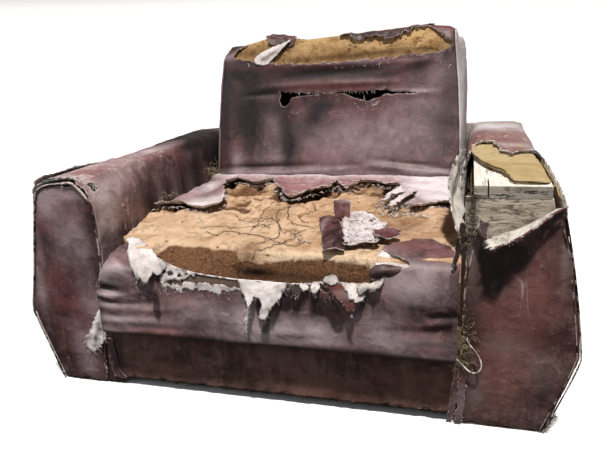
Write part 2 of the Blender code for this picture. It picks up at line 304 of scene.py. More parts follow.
def cloth(name, piece, place, front, back, slot, nodes=()):
    rng = np.random.RandomState(piece.get("seed", 3))
    edges = [cutOutline(corners, rng, piece.get("ragged", 1)) for corners in (piece["outline"],
                                                                              *piece.get("holes", ()))]
    outline = edges[0][0]
    low, high = outline.min(0), outline.max(0)
    across, along = (max(2, math.ceil(side / piece["cell"])) for side in high - low)
    bm = bmesh.new()
    bmesh.ops.create_grid(bm, x_segments=across, y_segments=along, size=0.5)
    bmesh.ops.scale(bm, vec=(*(high - low), 1), verts=bm.verts)
    bmesh.ops.translate(bm, vec=(*((low + high) / 2), 0), verts=bm.verts)
    centres = np.array([face.calc_center_median()[:2] for face in bm.faces])
    keep = toEdge(centres, *edges[0])[0] > 0
    for hole in edges[1:]:
        keep &= toEdge(centres, *hole)[0] < 0
    bmesh.ops.delete(bm, geom=[face for face, kept in zip(bm.faces, keep) if not kept], context="FACES")
    rim = [vert for vert in bm.verts if vert.is_boundary]
    spots = np.array([vert.co[:2] for vert in rim])
    found = [toEdge(spots, *edge) for edge in edges]
    closest = np.argmin([abs(signed) for signed, _, _ in found], axis=0)
    for k, vert in enumerate(rim):
        signed, nearest, _ = found[closest[k]]
        if abs(signed[k]) < 1.2 * piece["cell"]:
            vert.co.x, vert.co.y = nearest[k]
    flat = np.array([vert.co[:2] for vert in bm.verts])
    u, v = flat.T
    rag = np.min([toEdge(flat, *edge)[2] for edge in edges], axis=0)
    reach, rise = piece.get("curl", (0.01, 0.0))
    height = relief(u, v, piece) + rise * np.exp(-rag / reach)
    lifted = place(u, v, height + 0.001)
    for vert, spot in zip(bm.verts, place(u, v, height)):
        vert.co = spot
    bm.normal_update()
    bm.verts.index_update()
    outward = sum(face.normal.dot(Vector(lifted[face.verts[0].index]) - face.verts[0].co)
                  for face in bm.faces)
    if outward < 0:
        bmesh.ops.reverse_faces(bm, faces=bm.faces)
    for face in bm.faces:
        face.smooth = True
    mesh = meshFrom(bm, name, front, back)
    corners = np.zeros(len(mesh.loops), np.int32)
    mesh.loops.foreach_get("vertex_index", corners)
    mesh.uv_layers.new(name="cut").data.foreach_set("uv", flat[corners].astype(np.float32).ravel())
    setTone(mesh, "rag", rag)
    for tone in ("pale", "worn", "dark", "soot"):
        setTone(mesh, tone, tones(u, v, piece.get(tone, ())))
    obj = bpy.data.objects.new(name, mesh)
    wall = obj.modifiers.new("thickness", "SOLIDIFY")
    wall.thickness, wall.offset = piece.get("thick", skin), -1
    wall.material_offset = wall.material_offset_rim = 1
    seat(obj, slot, *nodes)
    mid = (low + high) / 2
    cross = place(np.linspace(low[0], high[0], 60), np.full(60, mid[1]), np.zeros(60))
    down = place(np.full(60, mid[0]), np.linspace(low[1], high[1], 60), np.zeros(60))
    x, y = outline.T
    share = abs(np.dot(x, np.roll(y, -1)) - np.dot(y, np.roll(x, -1))) / 2 / np.prod(high - low)
    return obj, edges, place


def strands(name, runs, thickness, finish, resolution=0):
    # many thin threads as one curve object
    curve = bpy.data.curves.new(name, "CURVE")
    curve.dimensions = "3D"
    curve.bevel_depth, curve.bevel_resolution = 1.0, resolution
    for run in runs:
        spline = curve.splines.new("POLY")
        spline.points.add(len(run) - 1)
        for point, spot in zip(spline.points, run):
            point.co, point.radius = (*spot, 1), thickness / 2
    curve.materials.append(finish)
    return seat(bpy.data.objects.new(name, curve), None)


def frays(made, count, reach, lift=0.002, spread=0.7, sag=0.0, seed=5, zone=None):
    # threads that leave a torn edge and follow the cloth's own surface beyond it
    _, edges, place = made
    rng = np.random.RandomState(seed)
    starts = []
    for outline, torn in edges:
        for a, b, rough in zip(outline, np.roll(outline, -1, axis=0), torn):
            middle = (a + b) / 2
            if rough and (zone is None or zone[0] < middle[0] < zone[1] and zone[2] < middle[1] < zone[3]):
                starts.append((a, b, outline))
    runs = []
    for _ in range(count if starts else 0):
        a, b, outline = starts[rng.randint(len(starts))]
        along = (b - a) / max(np.linalg.norm(b - a), 1e-9)
        out = np.array((along[1], -along[0]))
        p = a + rng.rand() * (b - a)
        if toEdge((p + 0.002 * out)[None], outline, np.array([False] * len(outline)))[0][0] > 0:
            out = -out
        if outline is not edges[0][0]:
            out = -out
        length, lean, curl = reach * rng.uniform(0.3, 1) ** 1.5, rng.uniform(-1,
                                                                             1) * spread, rng.uniform(-1, 1)
        steps = np.linspace(0, 1, 5)
        line = p + np.outer(steps * length - 0.001, out) + np.outer(
            length * (lean * steps + 0.4 * curl * steps ** 2), along)
        height = lift * rng.uniform(0.2, 1) * np.sin(steps * rng.uniform(1.5, 3)) + 0.0004
        spots = np.array(place(line[:, 0], line[:, 1], height))
        spots[:, 2] -= sag * length * steps ** 2
        runs.append(spots)
    return runs


def plane(origin, across, up, out):
    # a flat place for cloth: u runs along across, v along up, height along out
    origin, across, up, out = (np.array(part, float) for part in (origin, across, up, out))
    return lambda u, v, height: origin + np.outer(u, across) + np.outer(v, up) + np.outer(height, out)


def inFront(out):
    # upright and facing forwards, ahead of the arms' front
    return plane((0, armFront - out, 0), (1, 0, 0), (0, 0, 1), (0, -1, 0))


def above(place, lift):
    # the same surface, a little further out
    return lambda u, v, height: place(u, v, height + lift)


def along(path, value):
    # point and outward normal of a (a, b) path at a distance along it; the normal is to the left of its run
    path = np.asarray(path)
    steps = np.concatenate([[0], np.cumsum(np.linalg.norm(np.diff(path, axis=0), axis=1))])
    spot = np.stack([np.interp(value, steps, path[:, k]) for k in (0, 1)], axis=-1)
    ahead = np.stack([np.interp(value + 0.002, steps, path[:, k]) for k in (0, 1)], axis=-1)
    behind = np.stack([np.interp(value - 0.002, steps, path[:, k]) for k in (0, 1)], axis=-1)
    run = ahead - behind
    run = run / np.maximum(np.linalg.norm(run, axis=-1, keepdims=True), 1e-9)
    return spot, np.stack([-run[..., 1], run[..., 0]], axis=-1)


# Finishes
def vinylFinish(name, deep, body, worn, pale, gloss=0.42, dust=0.5, weathering=0.5, crazed=0.0,
                specular=0.45):
    # plasticised cotton vinyl: mottled, lilac bloom, red wear, hairline scratches, flakes, dust, torn
    # threads, and painted highlights, shade and cast shadows
    f = Finish(name, roughness=gloss, specular=specular)
    rag, paleSpot, wornSpot, darkSpot = (f.attribute(k) for k in ("rag", "pale", "worn", "dark"))
    cloud = f.noise(7, 5, 0.6, warp=0.8)
    blotch = f.noise(28, 6, 0.66, warp=0.7)
    grain = f.noise(90, 4, 0.7, warp=0.4)
    streak = f.noise(70, 4, 0.65, stretch=(1.0, 1.0, 0.1))
    mottle = cloud * 0.36 + blotch * 0.32 + grain * 0.16 + streak * 0.16
    colour = f.mix(mottle.over(0.43, 0.575), deep, body)
    colour = f.mix(f.noise(12, 5, 0.6, warp=0.5).over(0.48, 0.66) * weathering, colour, worn)
    colour = f.mix((blotch * 0.5 + streak * 0.3 + grain * 0.2).over(0.52, 0.68) * weathering * 0.6, colour,
                   pale)
    colour = f.mix((wornSpot * (0.1 + 1.4 * blotch)).clamp(), colour, worn)
    # pale attribute: lilac bloom, with painted highlights on fold ridges, bulges and lit faces
    colour = f.mix((paleSpot * (1.6 * cloud + 1.1 * blotch - 0.45)).clamp(), colour, pale)
    scratch = f.cells(13, "DISTANCE_TO_EDGE", stretch=(1.6, 1.0, 0.35))
    hair = (1 - scratch.over(0.0, 0.008)) * f.noise(14, 2).over(0.55, 0.72)
    colour = f.mix(hair * 0.45, colour, (0.5, 0.4, 0.41))
    speck = (1 - f.cells(240).over(0.08, 0.2)) * f.noise(9, 3).over(0.45, 0.66)
    colour = f.mix((speck * dust + grain.over(0.6, 0.74) * dust * 0.4).clamp(), colour, (0.46, 0.4, 0.39))
    flake = (grain * 0.5 + blotch * 0.5).over(0.54, 0.6) * wornSpot * crazed
    colour = f.mix(flake, colour, (0.66, 0.57, 0.55))
    crack = (1 - f.cells(70, "DISTANCE_TO_EDGE", stretch=(0.5, 1.6, 1.0)).over(0.0, 0.08)) * wornSpot * crazed
    colour = f.mix(crack * 0.5, colour, (0.05, 0.025, 0.022))
    # dark attribute: near-black patches, painted shade in creases, fold grooves and shadowed zones, and dirt
    colour = f.mix((darkSpot * (0.5 + blotch)).clamp(), colour, (0.01, 0.005, 0.005))
    # painted cast shadows and painted shade, near black, from the soot attribute
    soot = (f.attribute("soot") * (0.75 + 0.5 * grain)).over(0.3, 0.52)
    colour = f.mix(soot * 0.8, colour, (0.008, 0.004, 0.004))
    thread = 1 - (rag + 0.006 * (blotch - 0.5) + 0.004 * (grain - 0.5)).over(0.0002, 0.0016)
    colour = f.mix(thread * blotch.over(0.47, 0.54) * 0.8, colour, (0.58, 0.49, 0.47))
    height = f.cells(420) * 0.3 + grain * 0.8 - crack * 1.5 - flake + thread * 1.2 - hair * 0.6
    normal = f.bump(height, 0.4, 0.001, f.bump(blotch + 0.5 * cloud, 0.6, 0.005))
    rough = (gloss - 0.14 + 0.36 * blotch + 0.14 * grain + 0.25 * thread + 0.15 * darkSpot).clamp()
    return f.finish(colour, rough, normal)


def canvasFinish(name, light, grey, weave=900, rough=0.92, stain=0.55, specks=0.0):
    # knitted cotton backing, grubby in patches
    f = Finish(name, roughness=rough, specular=0.2)
    cut = f.node("TexCoord", {}, {}, "UV")
    patch = f.noise(28, 5, 0.65)
    fleck = f.noise(170, 3, 0.7)
    wave = {"wave_type": "BANDS", "bands_direction": "X"}
    sizes = {"Vector": cut, "Scale": weave * 0.318, "Distortion": 0.8}
    warpWay = f.node("TexWave", wave, sizes, 1)
    weftWay = f.node("TexWave", {**wave, "bands_direction": "Y"}, sizes, 1)
    colour = f.mix((patch.over(0.42, 0.7) * stain + fleck.over(0.55, 0.72) * stain).clamp(), light, grey)
    soiled = (grey[0] * 0.25, grey[1] * 0.18, grey[2] * 0.16)
    colour = f.mix((1 - f.attribute("rag").over(0.0, 0.003)) * f.noise(70, 4, 0.7).over(0.48, 0.56) * 0.8,
                   colour, soiled)
    if specks:
        colour = f.mix(f.noise(75, 5, 0.75, warp=0.5).over(0.56, 0.6) * specks, colour, soiled)
    normal = f.bump(warpWay * 0.4 + weftWay * 0.4 + fleck * 0.8, 0.5, 0.0007, f.bump(patch, 0.4, 0.005))
    return f.finish(colour, None, normal)


def foamFinish(name, light, body, burnt, coarse=1.0, mess=1.0):
    # sun-yellowed open foam: pits, pores and hairline splits, dark and crumbly where the dark attribute marks
    # painted shade and grime
    f = Finish(name, roughness=0.96, specular=0.1)
    dark = f.attribute("dark")
    cloud = f.noise(10, 5, 0.6, warp=0.6)
    patch = f.noise(36, 6, 0.68, warp=0.5)
    pore = f.cells(330 / coarse)
    pit = (1 - f.cells(62 / coarse).over(0.05, 0.3)) * f.noise(16, 3).over(0.48, 0.66)
    crumb = f.noise(400, 3, 0.75)
    seam = f.noise(19, 5, 0.6, warp=1.4)
    split = (1 - ((seam - 0.5) * (seam - 0.5)).over(0.0, 0.0003)) * cloud.over(0.52, 0.62)
    colour = f.mix(cloud.over(0.4, 0.6), body, light)
    colour = f.mix(patch.over(0.5, 0.66) * 0.8 * mess, colour,
                   (body[0] * 0.62, body[1] * 0.52, body[2] * 0.4))
    # pale attribute: lighter foam, painted light on the lit parts of the seat foam, with bleaching
    colour = f.mix(f.attribute("pale") * (0.35 + 0.8 * cloud), colour, (0.82, 0.63, 0.44))
    colour = f.mix((pit * 0.8 + split * 0.25 * mess).clamp(), colour, burnt)
    # dark zone: painted shade under the front lumps, in the rear hollows and on the block's sides, with grime
    fuzz = f.noise(190, 5, 0.75, stretch=(1.0, 1.0, 0.6))
    darkZone = f.mix(fuzz.over(0.38, 0.66), (body[0] * 0.2, body[1] * 0.15, body[2] * 0.13),
                 (body[0] * 0.44, body[1] * 0.36, body[2] * 0.32))
    colour = f.mix((dark * (0.7 + 1.0 * patch)).clamp(), colour, darkZone)
    # lighter crumbs in the dark zone, painted as lit specks
    colour = f.mix(dark * crumb.over(0.55, 0.62) * 0.45, colour,
                   (body[0] * 0.9, body[1] * 0.8, body[2] * 0.7))
    # painted shade, near black, from the soot attribute
    colour = f.mix(f.attribute("soot"), colour, (0.006, 0.003, 0.002))
    height = pore * 0.35 + patch * 1.7 * mess + crumb * 0.6 - pit * 1.6 - split * 0.6 * mess
    return f.finish(colour, None, f.bump(height, 0.9, 0.0038))


def woodFinish(name, light, body, dark, way=(1.0, 12.0, 12.0), grit=0.4, ring=3.0, swirl=0.4):
    # grain runs along the axis whose stretch is smallest
    f = Finish(name, roughness=0.85, specular=0.25)
    line = f.noise(ring, 8, 0.74, warp=swirl, stretch=way)
    coarse = f.noise(ring * 0.35, 5, 0.6, warp=1.2, stretch=way)
    fissure = f.noise(ring * 5, 6, 0.8, warp=0.3, stretch=way)
    blot = f.noise(18, 6, 0.7, warp=0.6)
    colour = f.mix((line * 0.6 + coarse * 0.4).over(0.43, 0.57), body, light)
    colour = f.mix(line.over(0.54, 0.6) * 0.8, colour, dark)
    colour = f.mix((fissure.over(0.53, 0.58) * grit + blot.over(0.54, 0.64) * grit * 0.6).clamp(), colour,
                   dark)
    return f.finish(colour, None, f.bump(line * 1.2 - fissure * grit * 1.2 - blot * grit * 0.5, 0.8, 0.0028))


vinyl = vinylFinish("vinyl", (0.022, 0.007, 0.008), (0.098, 0.047, 0.049), (0.15, 0.044, 0.041),
                    (0.33, 0.24, 0.255))
# a lighter copy of the vinyl for the left arm: painted light on its lit inner face and top
armVinyl = vinylFinish("armVinyl", (0.06, 0.027, 0.027), (0.205, 0.122, 0.12), (0.27, 0.095, 0.086),
                       (0.5, 0.4, 0.41), crazed=0.9)
backVinyl = vinylFinish("backVinyl", (0.022, 0.007, 0.008), (0.099, 0.0445, 0.0475), (0.15, 0.047, 0.045),
                        (0.34, 0.248, 0.261), 0.36)
bandVinyl = vinylFinish("bandVinyl", (0.038, 0.016, 0.018), (0.142, 0.082, 0.086), (0.2, 0.075, 0.07),
                        (0.41, 0.322, 0.336), 0.38)
shadedVinyl = vinylFinish("shadedVinyl", (0.01, 0.004, 0.003), (0.04, 0.017, 0.012), (0.062, 0.023, 0.015),
                          (0.08, 0.054, 0.046), 0.62, 0.12)
apronVinyl = vinylFinish("apronVinyl", (0.046, 0.022, 0.017), (0.158, 0.084, 0.066), (0.2, 0.085, 0.062),
                         (0.24, 0.16, 0.13), 0.6, 0.3)
liningVinyl = vinylFinish("liningVinyl", (0.15, 0.075, 0.078), (0.31, 0.195, 0.2), (0.33, 0.145, 0.145),
                          (0.7, 0.63, 0.645), 0.5, crazed=0.5)
# a pale grey copy of the vinyl for the back's right strip: painted light where it is sunlit
boxingVinyl = vinylFinish("boxingVinyl", (0.34, 0.3, 0.31), (0.55, 0.51, 0.52), (0.42, 0.3, 0.3),
                          (0.7, 0.68, 0.68), 0.6)
rightVinyl = vinylFinish("rightVinyl", (0.13, 0.06, 0.058), (0.3, 0.19, 0.182), (0.25, 0.105, 0.095),
                         (0.56, 0.52, 0.52), 0.5, crazed=0.9)
rightFacingVinyl = vinylFinish("rightFacingVinyl", (0.04, 0.018, 0.016), (0.13, 0.075, 0.068),
                               (0.19, 0.07, 0.06), (0.3, 0.23, 0.22))
canvas = canvasFinish("canvas", (0.7, 0.64, 0.62), (0.32, 0.27, 0.26), stain=0.7)
creamCanvas = canvasFinish("creamCanvas", (0.78, 0.74, 0.67), (0.34, 0.3, 0.25), stain=0.65)
canvasGrubby = canvasFinish("canvasGrubby", (0.58, 0.53, 0.48), (0.12, 0.095, 0.085), stain=0.8)
scrapCanvas = canvasFinish("scrapCanvas", (0.66, 0.6, 0.6), (0.2, 0.13, 0.12), stain=0.7, specks=0.95)
seatFoamFinish = foamFinish("seatFoamFinish", (0.66, 0.455, 0.3), (0.46, 0.28, 0.165), (0.06, 0.028, 0.016))
backFoamFinish = foamFinish("backFoamFinish", (0.55, 0.362, 0.175), (0.35, 0.204, 0.091),
                            (0.06, 0.028, 0.014))
# near-black foam for the pad seen in the gap beside the seat: painted shade
stainedFoam = foamFinish("stainedFoam", (0.13, 0.095, 0.055), (0.065, 0.045, 0.028), (0.012, 0.008, 0.005))
armFoamFinish = foamFinish("armFoamFinish", (0.56, 0.43, 0.24), (0.46, 0.335, 0.16), (0.1, 0.065, 0.03),
                           0.5, 0.35)
greyWood = woodFinish("greyWood", (0.48, 0.43, 0.36), (0.25, 0.215, 0.18), (0.026, 0.021, 0.017),
                      (1.6, 9.0, 9.0), 0.95)
sunWood = woodFinish("sunWood", (0.84, 0.79, 0.72), (0.74, 0.68, 0.6), (0.22, 0.18, 0.13),
                     (12.0, 1.0, 12.0), 0.25)
boardWood = woodFinish("boardWood", (0.66, 0.57, 0.46), (0.38, 0.32, 0.24), (0.06, 0.045, 0.032),
                       (2.2, 9.0, 9.0), 0.75, 2.6, 1.6)
frameWood = woodFinish("frameWood", (0.42, 0.28, 0.15), (0.3, 0.19, 0.1), (0.12, 0.07, 0.035), grit=0.2)
# near-black wood for the boards in the gap behind the left facing: painted shade
stainedWood = woodFinish("stainedWood", (0.05, 0.035, 0.025), (0.028, 0.02, 0.014), (0.008, 0.006, 0.005))
hardboard = woodFinish("hardboard", (0.2, 0.12, 0.065), (0.15, 0.085, 0.045), (0.07, 0.04, 0.02),
                       (30.0, 30.0, 30.0))
webbing = canvasFinish("webbing", (0.38, 0.3, 0.19), (0.16, 0.12, 0.07), weave=500)
hessian = canvasFinish("hessian", (0.4, 0.3, 0.18), (0.2, 0.14, 0.08), weave=600)
dustCloth = canvasFinish("dustCloth", (0.035, 0.034, 0.036), (0.016, 0.015, 0.015))
whiteThread = canvasFinish("whiteThread", (0.74, 0.68, 0.65), (0.46, 0.4, 0.37))
darkThread = canvasFinish("darkThread", (0.03, 0.02, 0.018), (0.01, 0.007, 0.007))
cordFinish = canvasFinish("cordFinish", (0.86, 0.84, 0.8), (0.6, 0.56, 0.5))
brownLining = canvasFinish("brownLining", (0.155, 0.105, 0.08), (0.05, 0.03, 0.022))
strawFinish = canvasFinish("strawFinish", (0.5, 0.41, 0.26), (0.24, 0.18, 0.1))
weltRed = vinylFinish("weltRed", (0.04, 0.014, 0.013), (0.105, 0.04, 0.036), (0.2, 0.06, 0.05),
                      (0.34, 0.26, 0.25), 0.7, specular=0.15)
weltPale = vinylFinish("weltPale", (0.2, 0.15, 0.14), (0.44, 0.37, 0.35), (0.26, 0.16, 0.14),
                       (0.6, 0.54, 0.52), 0.7, specular=0.15)
weltDull = vinylFinish("weltDull", (0.016, 0.009, 0.008), (0.048, 0.028, 0.025), (0.09, 0.04, 0.034),
                       (0.2, 0.16, 0.15), 0.8, specular=0.1)
foldCanvas = canvasFinish("foldCanvas", (0.6, 0.56, 0.5), (0.15, 0.12, 0.09), stain=0.95)

cadFinish = {
    "frameWood": ("front_ledge", "rear_rail", "apron_board", "rear_lower_rail", "side_rail_left",
                  "side_rail_right", "front_corner_post_left", "front_corner_post_right",
                  "rear_corner_post_left", "rear_corner_post_right", "arm_bottom_rail_left",
                  "arm_bottom_rail_right", "back_lower_rail"),
    "boardWood": ("arm_front_board_right", "arm_rear_board_left", "arm_rear_board_right"),
    "hardboard": ("arm_inner_panel_left", "arm_inner_panel_right", "arm_outer_lower_panel_left",
                  "arm_outer_lower_panel_right", "arm_outer_upper_panel_right"),
    "webbing": [f"seat_strap_{number}" for number in (1, 2, 3, 4)] + ["back_strap_1", "back_strap_2"],
    "hessian": ("seat_hessian", "back_hessian"),
    "dustCloth": ("dust_cover",),
}
for finishName, nodeNames in cadFinish.items():
    for nodeName in nodeNames:
        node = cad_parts[nodeName]
        node.data.materials.clear()
        node.data.materials.append(bpy.data.materials[finishName])
print("frame timber done")


# White filler cord of the torn welt, first of the pieces: its loop hangs low on the right arm
fillerCord = metres({
    "radius": 1.5,
    "route": [(427.5, -0.3, 205.5), (427.5, -6, 205.5), (431, -11, 200), (437, -13, 193), (444, -14, 185),
        (451, -15, 174), (456, -15.5, 162), (456.5, -15.5, 150), (452, -15, 140), (444, -14.5, 135.5),
        (435, -14, 137), (427, -13, 143), (419, -11.5, 151), (413, -9.2, 157), (408.5, -5.5, 159),
        (408.5, -0.3, 159)],
})


def makeCord(c):
    route = smoothPath([(x, armFront + y, z) for x, y, z in c["route"]], 2)
    curve = bpy.data.curves.new("fillerCord", "CURVE")
    curve.dimensions = "3D"
    curve.bevel_depth, curve.bevel_resolution, curve.use_fill_caps = c["radius"], 2, True
    spline = curve.splines.new("POLY")
    spline.points.add(len(route) - 1)
    for point, spot in zip(spline.points, route):
        point.co = (*spot, 1)
    curve.materials.append(cordFinish)
    cord = seat(bpy.data.objects.new("fillerCord", curve), "filler_cord", "filler_cord")
    2 * c["radius"]


makeCord(fillerCord)
print("filler cord hung")


# Floor and light: a high key from the front, and an even white surround
studio = {"floor": 0.86, "surround": 1.02, "dome": 0.1, "below": 0.05, "key": 4.7, "keyTilt": 19,
          "keyTurn": 7, "keySpread": 4.0, "sheen": 18, "sheenPlace": (-2.2, -2.4, 1.7)}


def makeStudio(s):
    bm = bmesh.new()
    bmesh.ops.create_grid(bm, x_segments=2, y_segments=2, size=30)
    paint = Finish("floorPaint", roughness=0.9, specular=0.1)
    shade = paint.mix(paint.noise(1.5, 2) * 0.05, (s["floor"],) * 3, (s["floor"] * 0.97,) * 3)
    floor = bpy.data.objects.new("floor", meshFrom(bm, "floor", paint.finish(shade)))
    bpy.context.scene.collection.objects.link(floor)
    floor.visible_diffuse = floor.visible_glossy = False
    world = bpy.data.worlds.new("surround")
    world.use_nodes = True
    tree = world.node_tree
    way = tree.nodes.new("ShaderNodeTexCoord")
    split = tree.nodes.new("ShaderNodeSeparateXYZ")
    band = tree.nodes.new("ShaderNodeFloatCurve")
    for place, value in zip(((0.0, s["below"]), (1.0, s["dome"])), (0, 1)):
        band.mapping.curves[0].points[value].location = place
    for height, level in ((0.472, s["below"]), (0.486, s["surround"]), (0.538, s["surround"]),
                          (0.565, s["dome"])):
        band.mapping.curves[0].points.new(height, level)
    for point in band.mapping.curves[0].points:
        point.handle_type = "VECTOR"
    band.mapping.update()
    lift = tree.nodes.new("ShaderNodeMath")
    lift.operation = "MULTIPLY_ADD"
    lift.inputs[1].default_value, lift.inputs[2].default_value = 0.5, 0.5
    tree.links.new(way.outputs["Generated"], split.inputs[0])
    tree.links.new(split.outputs["Z"], lift.inputs[0])
    tree.links.new(lift.outputs[0], band.inputs["Value"])
    tree.links.new(band.outputs[0], tree.nodes["Background"].inputs["Strength"])
    tree.nodes["Background"].inputs["Color"].default_value = (1.0, 0.99, 0.98, 1)
    bpy.context.scene.world = world
    key = bpy.data.lights.new("key", "SUN")
    key.energy, key.angle, key.color = s["key"], math.radians(s["keySpread"]), (1.0, 0.97, 0.93)
    lamp = bpy.data.objects.new("key", key)
    lamp.rotation_euler = (math.radians(s["keyTilt"]), math.radians(s["keyTurn"]), 0)
    bpy.context.scene.collection.objects.link(lamp)
    panel = bpy.data.lights.new("sheen", "AREA")
    panel.energy, panel.size, panel.color = s["sheen"], 1.2, (0.93, 0.95, 1.0)
    lamp = bpy.data.objects.new("sheen", panel)
    lamp.location = s["sheenPlace"]
    lamp.rotation_euler = (Vector((0, 0, 0.4)) - lamp.location).to_track_quat("-Z", "Y").to_euler()
    bpy.context.scene.collection.objects.link(lamp)
    bpy.context.scene.view_settings.view_transform = "Standard"


makeStudio(studio)
print("studio lit")


# Foam
def foamBlock(name, piece, shape, finish, slot, nodes=()):
    # a closed block whose fine face is (a, b) from 0 to 1 at c = 1; shape bends it and gives its darkening
    bm = bmesh.new()
    bmesh.ops.create_grid(bm, x_segments=piece["cells"][0], y_segments=piece["cells"][1], size=0.5)
    for vert in bm.verts:
        vert.co.z = -0.5
    top = bmesh.ops.extrude_face_region(bm, geom=bm.faces[:])["geom"]
    bmesh.ops.translate(bm, vec=(0, 0, 1), verts=[part for part in top if isinstance(part,
                                                                                     bmesh.types.BMVert)])
    walls = [edge for edge in bm.edges if abs(edge.verts[0].co.z - edge.verts[1].co.z) > 0.5]
    bmesh.ops.subdivide_edges(bm, edges=walls, cuts=piece["cuts"], use_grid_fill=True)
    cube = np.array([vert.co[:] for vert in bm.verts]) + 0.5
    spots, grime = shape(*cube.T, piece)
    for vert, spot in zip(bm.verts, spots):
        vert.co = spot
    bmesh.ops.recalc_face_normals(bm, faces=bm.faces)
    for face in bm.faces:
        face.smooth = True
    mesh = meshFrom(bm, name, finish)
    setTone(mesh, "dark", grime)
    setTone(mesh, "soot", tones(spots[:, 0], spots[:, 2], piece.get("soot", ())))
    setTone(mesh, "pale", tones(spots[:, 0], spots[:, 1], piece.get("pale", ())))
    block = seat(bpy.data.objects.new(name, mesh), slot, *nodes)
    return block


# the back's raked face: where it is at seat height, how it leans, and its length for each metre of height
rake = {"height": 0.38, "y": 0.258, "lean": 0.227, "length": 1.0254}


def backY(z):
    return rake["y"] + (z - rake["height"]) * rake["lean"]


def backFlat(v):
    # half width of the cover's flat face, narrower towards the top
    return np.interp(v, [0.29, 0.545, 0.675, 0.8], [0.384, 0.378, 0.37, 0.357])


seatFoam = metres({
    "cells": (205, 180), "cuts": 6, "fill": 0.7,
    # pale: lighter foam on the lit left and along the front lip, painted light with bleaching
    "pale": [(-250, -300, 140, 100, 0.4), (-300, -180, 80, 80, 0.3), (140, -435, 140, 20, 1),
        (-200, -400, 80, 20, 0.5)],
    "rumples": [(90, 5, 21, 1.2), (50, 5, 22, 0.8), (26, 3.6, 23, 1), (12, 1.8, 24, 1)],
    "folds": [(-100, 20, 20, 100, 50, -14), (-200, 100, -280, 50, 35, -14), (-360, 60, -360, -100, 50, -12),
        (-120, 110, -90, 30, 20, -12), (-140, 0, -160, -100, 14, 6), (-60, -60, -110, -180, 10, 5),
        (20, -20, -30, -140, 12, 6), (120, 20, 100, -80, 16, 6), (-20, -220, 100, -50, 60, 6),
        (-360, -300, -100, -360, 30, -4), (160, 100, 240, 140, 30, -10), (270, 0, 330, 60, 30, -10),
        (50, 40, 70, 120, 15, -12), (-20, 100, -10, 160, 12, -12)],
    "slope": ([-300, -262, -247, -221, -170, -115, -62, -50, 6, 100, 220, 270],
        [8, 10, 40, 56, 52, 42, 34, 11, 11, 12, 13, 14]),
    "shade": ([-300, -255, -230, -62, -50, 6, 60, 120, 220, 262, 300],
        [355, 362, 379, 378, 365, 361, 371, 376, 369, 353, 342]),
    # soot: near-black painted shade low on the foam's front, under its lumps
    "soot": [(-10, 342, 50, 10, 0.9), (100, 336, 120, 8, 0.5)],
    # darkening: painted shade in the rear hollows and under the remnant's edges, with grime
    "grime": [(-240, 110, 60, 50, 1), (-100, 110, 35, 60, 1), (20, 130, 60, 30, 0.9),
        (170, 160, 60, 20, 0.8), (-290, -20, 30, 80, 0.8), (-270, -150, 40, 20, 0.6),
        (200, -20, 20, 60, 0.5), (310, -60, 50, 20, 0.8), (380, -200, 20, 100, 0.6),
        (300, -20, 60, 30, 0.55), (-50, -120, 30, 120, 0.28), (250, -120, 50, 100, 0.35),
        (300, -220, 60, 60, 0.35), (-30, -420, 30, 40, 0.6)],
})


foamFront = seatFront + 0.0115  # the foam's face, behind the band and its slack


def seatFoamTop(x, y):
    # height of the foam's top, and how dark it is painted where it falls away at the front: painted shade
    # under the lip, with grime
    depth = y - foamFront
    slope = np.interp(x, *seatFoam["slope"]) + 0.004 * ripple(x, 0 * x, 0.03, 25)
    near = np.clip(1 - depth / slope, 0, 1)
    edge = 0.005 * np.exp(-((x - 0.27) / 0.05) ** 2) + 0.05 * near ** 1.15 + 0.003 * np.exp(-depth / 0.05)
    sunk = 0.006 * np.clip((y + 0.06) / 0.12, 0, 1)
    rise = relief(x, y, seatFoam) * (0.55 + 1.45 * np.clip((y + 0.24) / 0.18, 0, 1))
    rise = rise + 0.004 * np.abs(ripple(x, y, 0.02, 27)) * np.clip((y + 0.26) / 0.1, 0, 1)
    high = np.minimum(seatTop - edge - sunk + rise * np.clip(depth / 0.05, 0.15, 1), seatTop + 0.007)
    shade = np.interp(x, *seatFoam["shade"]) + 0.0015 * ripple(x, 0 * x, 0.012, 26)
    return high, np.clip((shade - high) / 0.004, 0, 1)


def seatFoamShape(a, b, c, piece):
    half = seatHalf - 0.0006
    x = (2 * a - 1) * half
    y = foamFront + (backY(seatTop) - 0.002 - foamFront) * b ** 1.35
    corner = (np.clip((-0.16 - y) / 0.24, 0, 1) * 0.052 + np.clip((-0.375 - y) / 0.07, 0,
                                                                  1) * 0.075) * np.clip(c * 1.6 - 0.2, 0, 1)
    x = np.where(x < -half + 0.3, x + corner * (1 - (x + half) / 0.3), x)
    high, near = seatFoamTop(x, y)
    y = y - 0.003 * np.sin(math.pi * c) * (b < 0.001)
    z = deckZ + (high - deckZ) * c
    # darker in the rear hollows, on the block's sides and underside: painted shade; the listed patches are
    # painted shade and grime
    hollow = np.clip((seatTop - 0.007 - high) / 0.011, 0, 1) * np.clip((y + 0.24) / 0.12, 0, 1)
    grime = np.maximum.reduce([near, tones(x, y, piece["grime"]), 0.85 * hollow])
    grime = np.where(c < 0.97, np.maximum(grime, 0.9), grime)
    return np.stack([x, y, z], axis=1), grime


foamBlock("seatFoam", seatFoam, seatFoamShape, seatFoamFinish, "foam", ["seat_foam"])

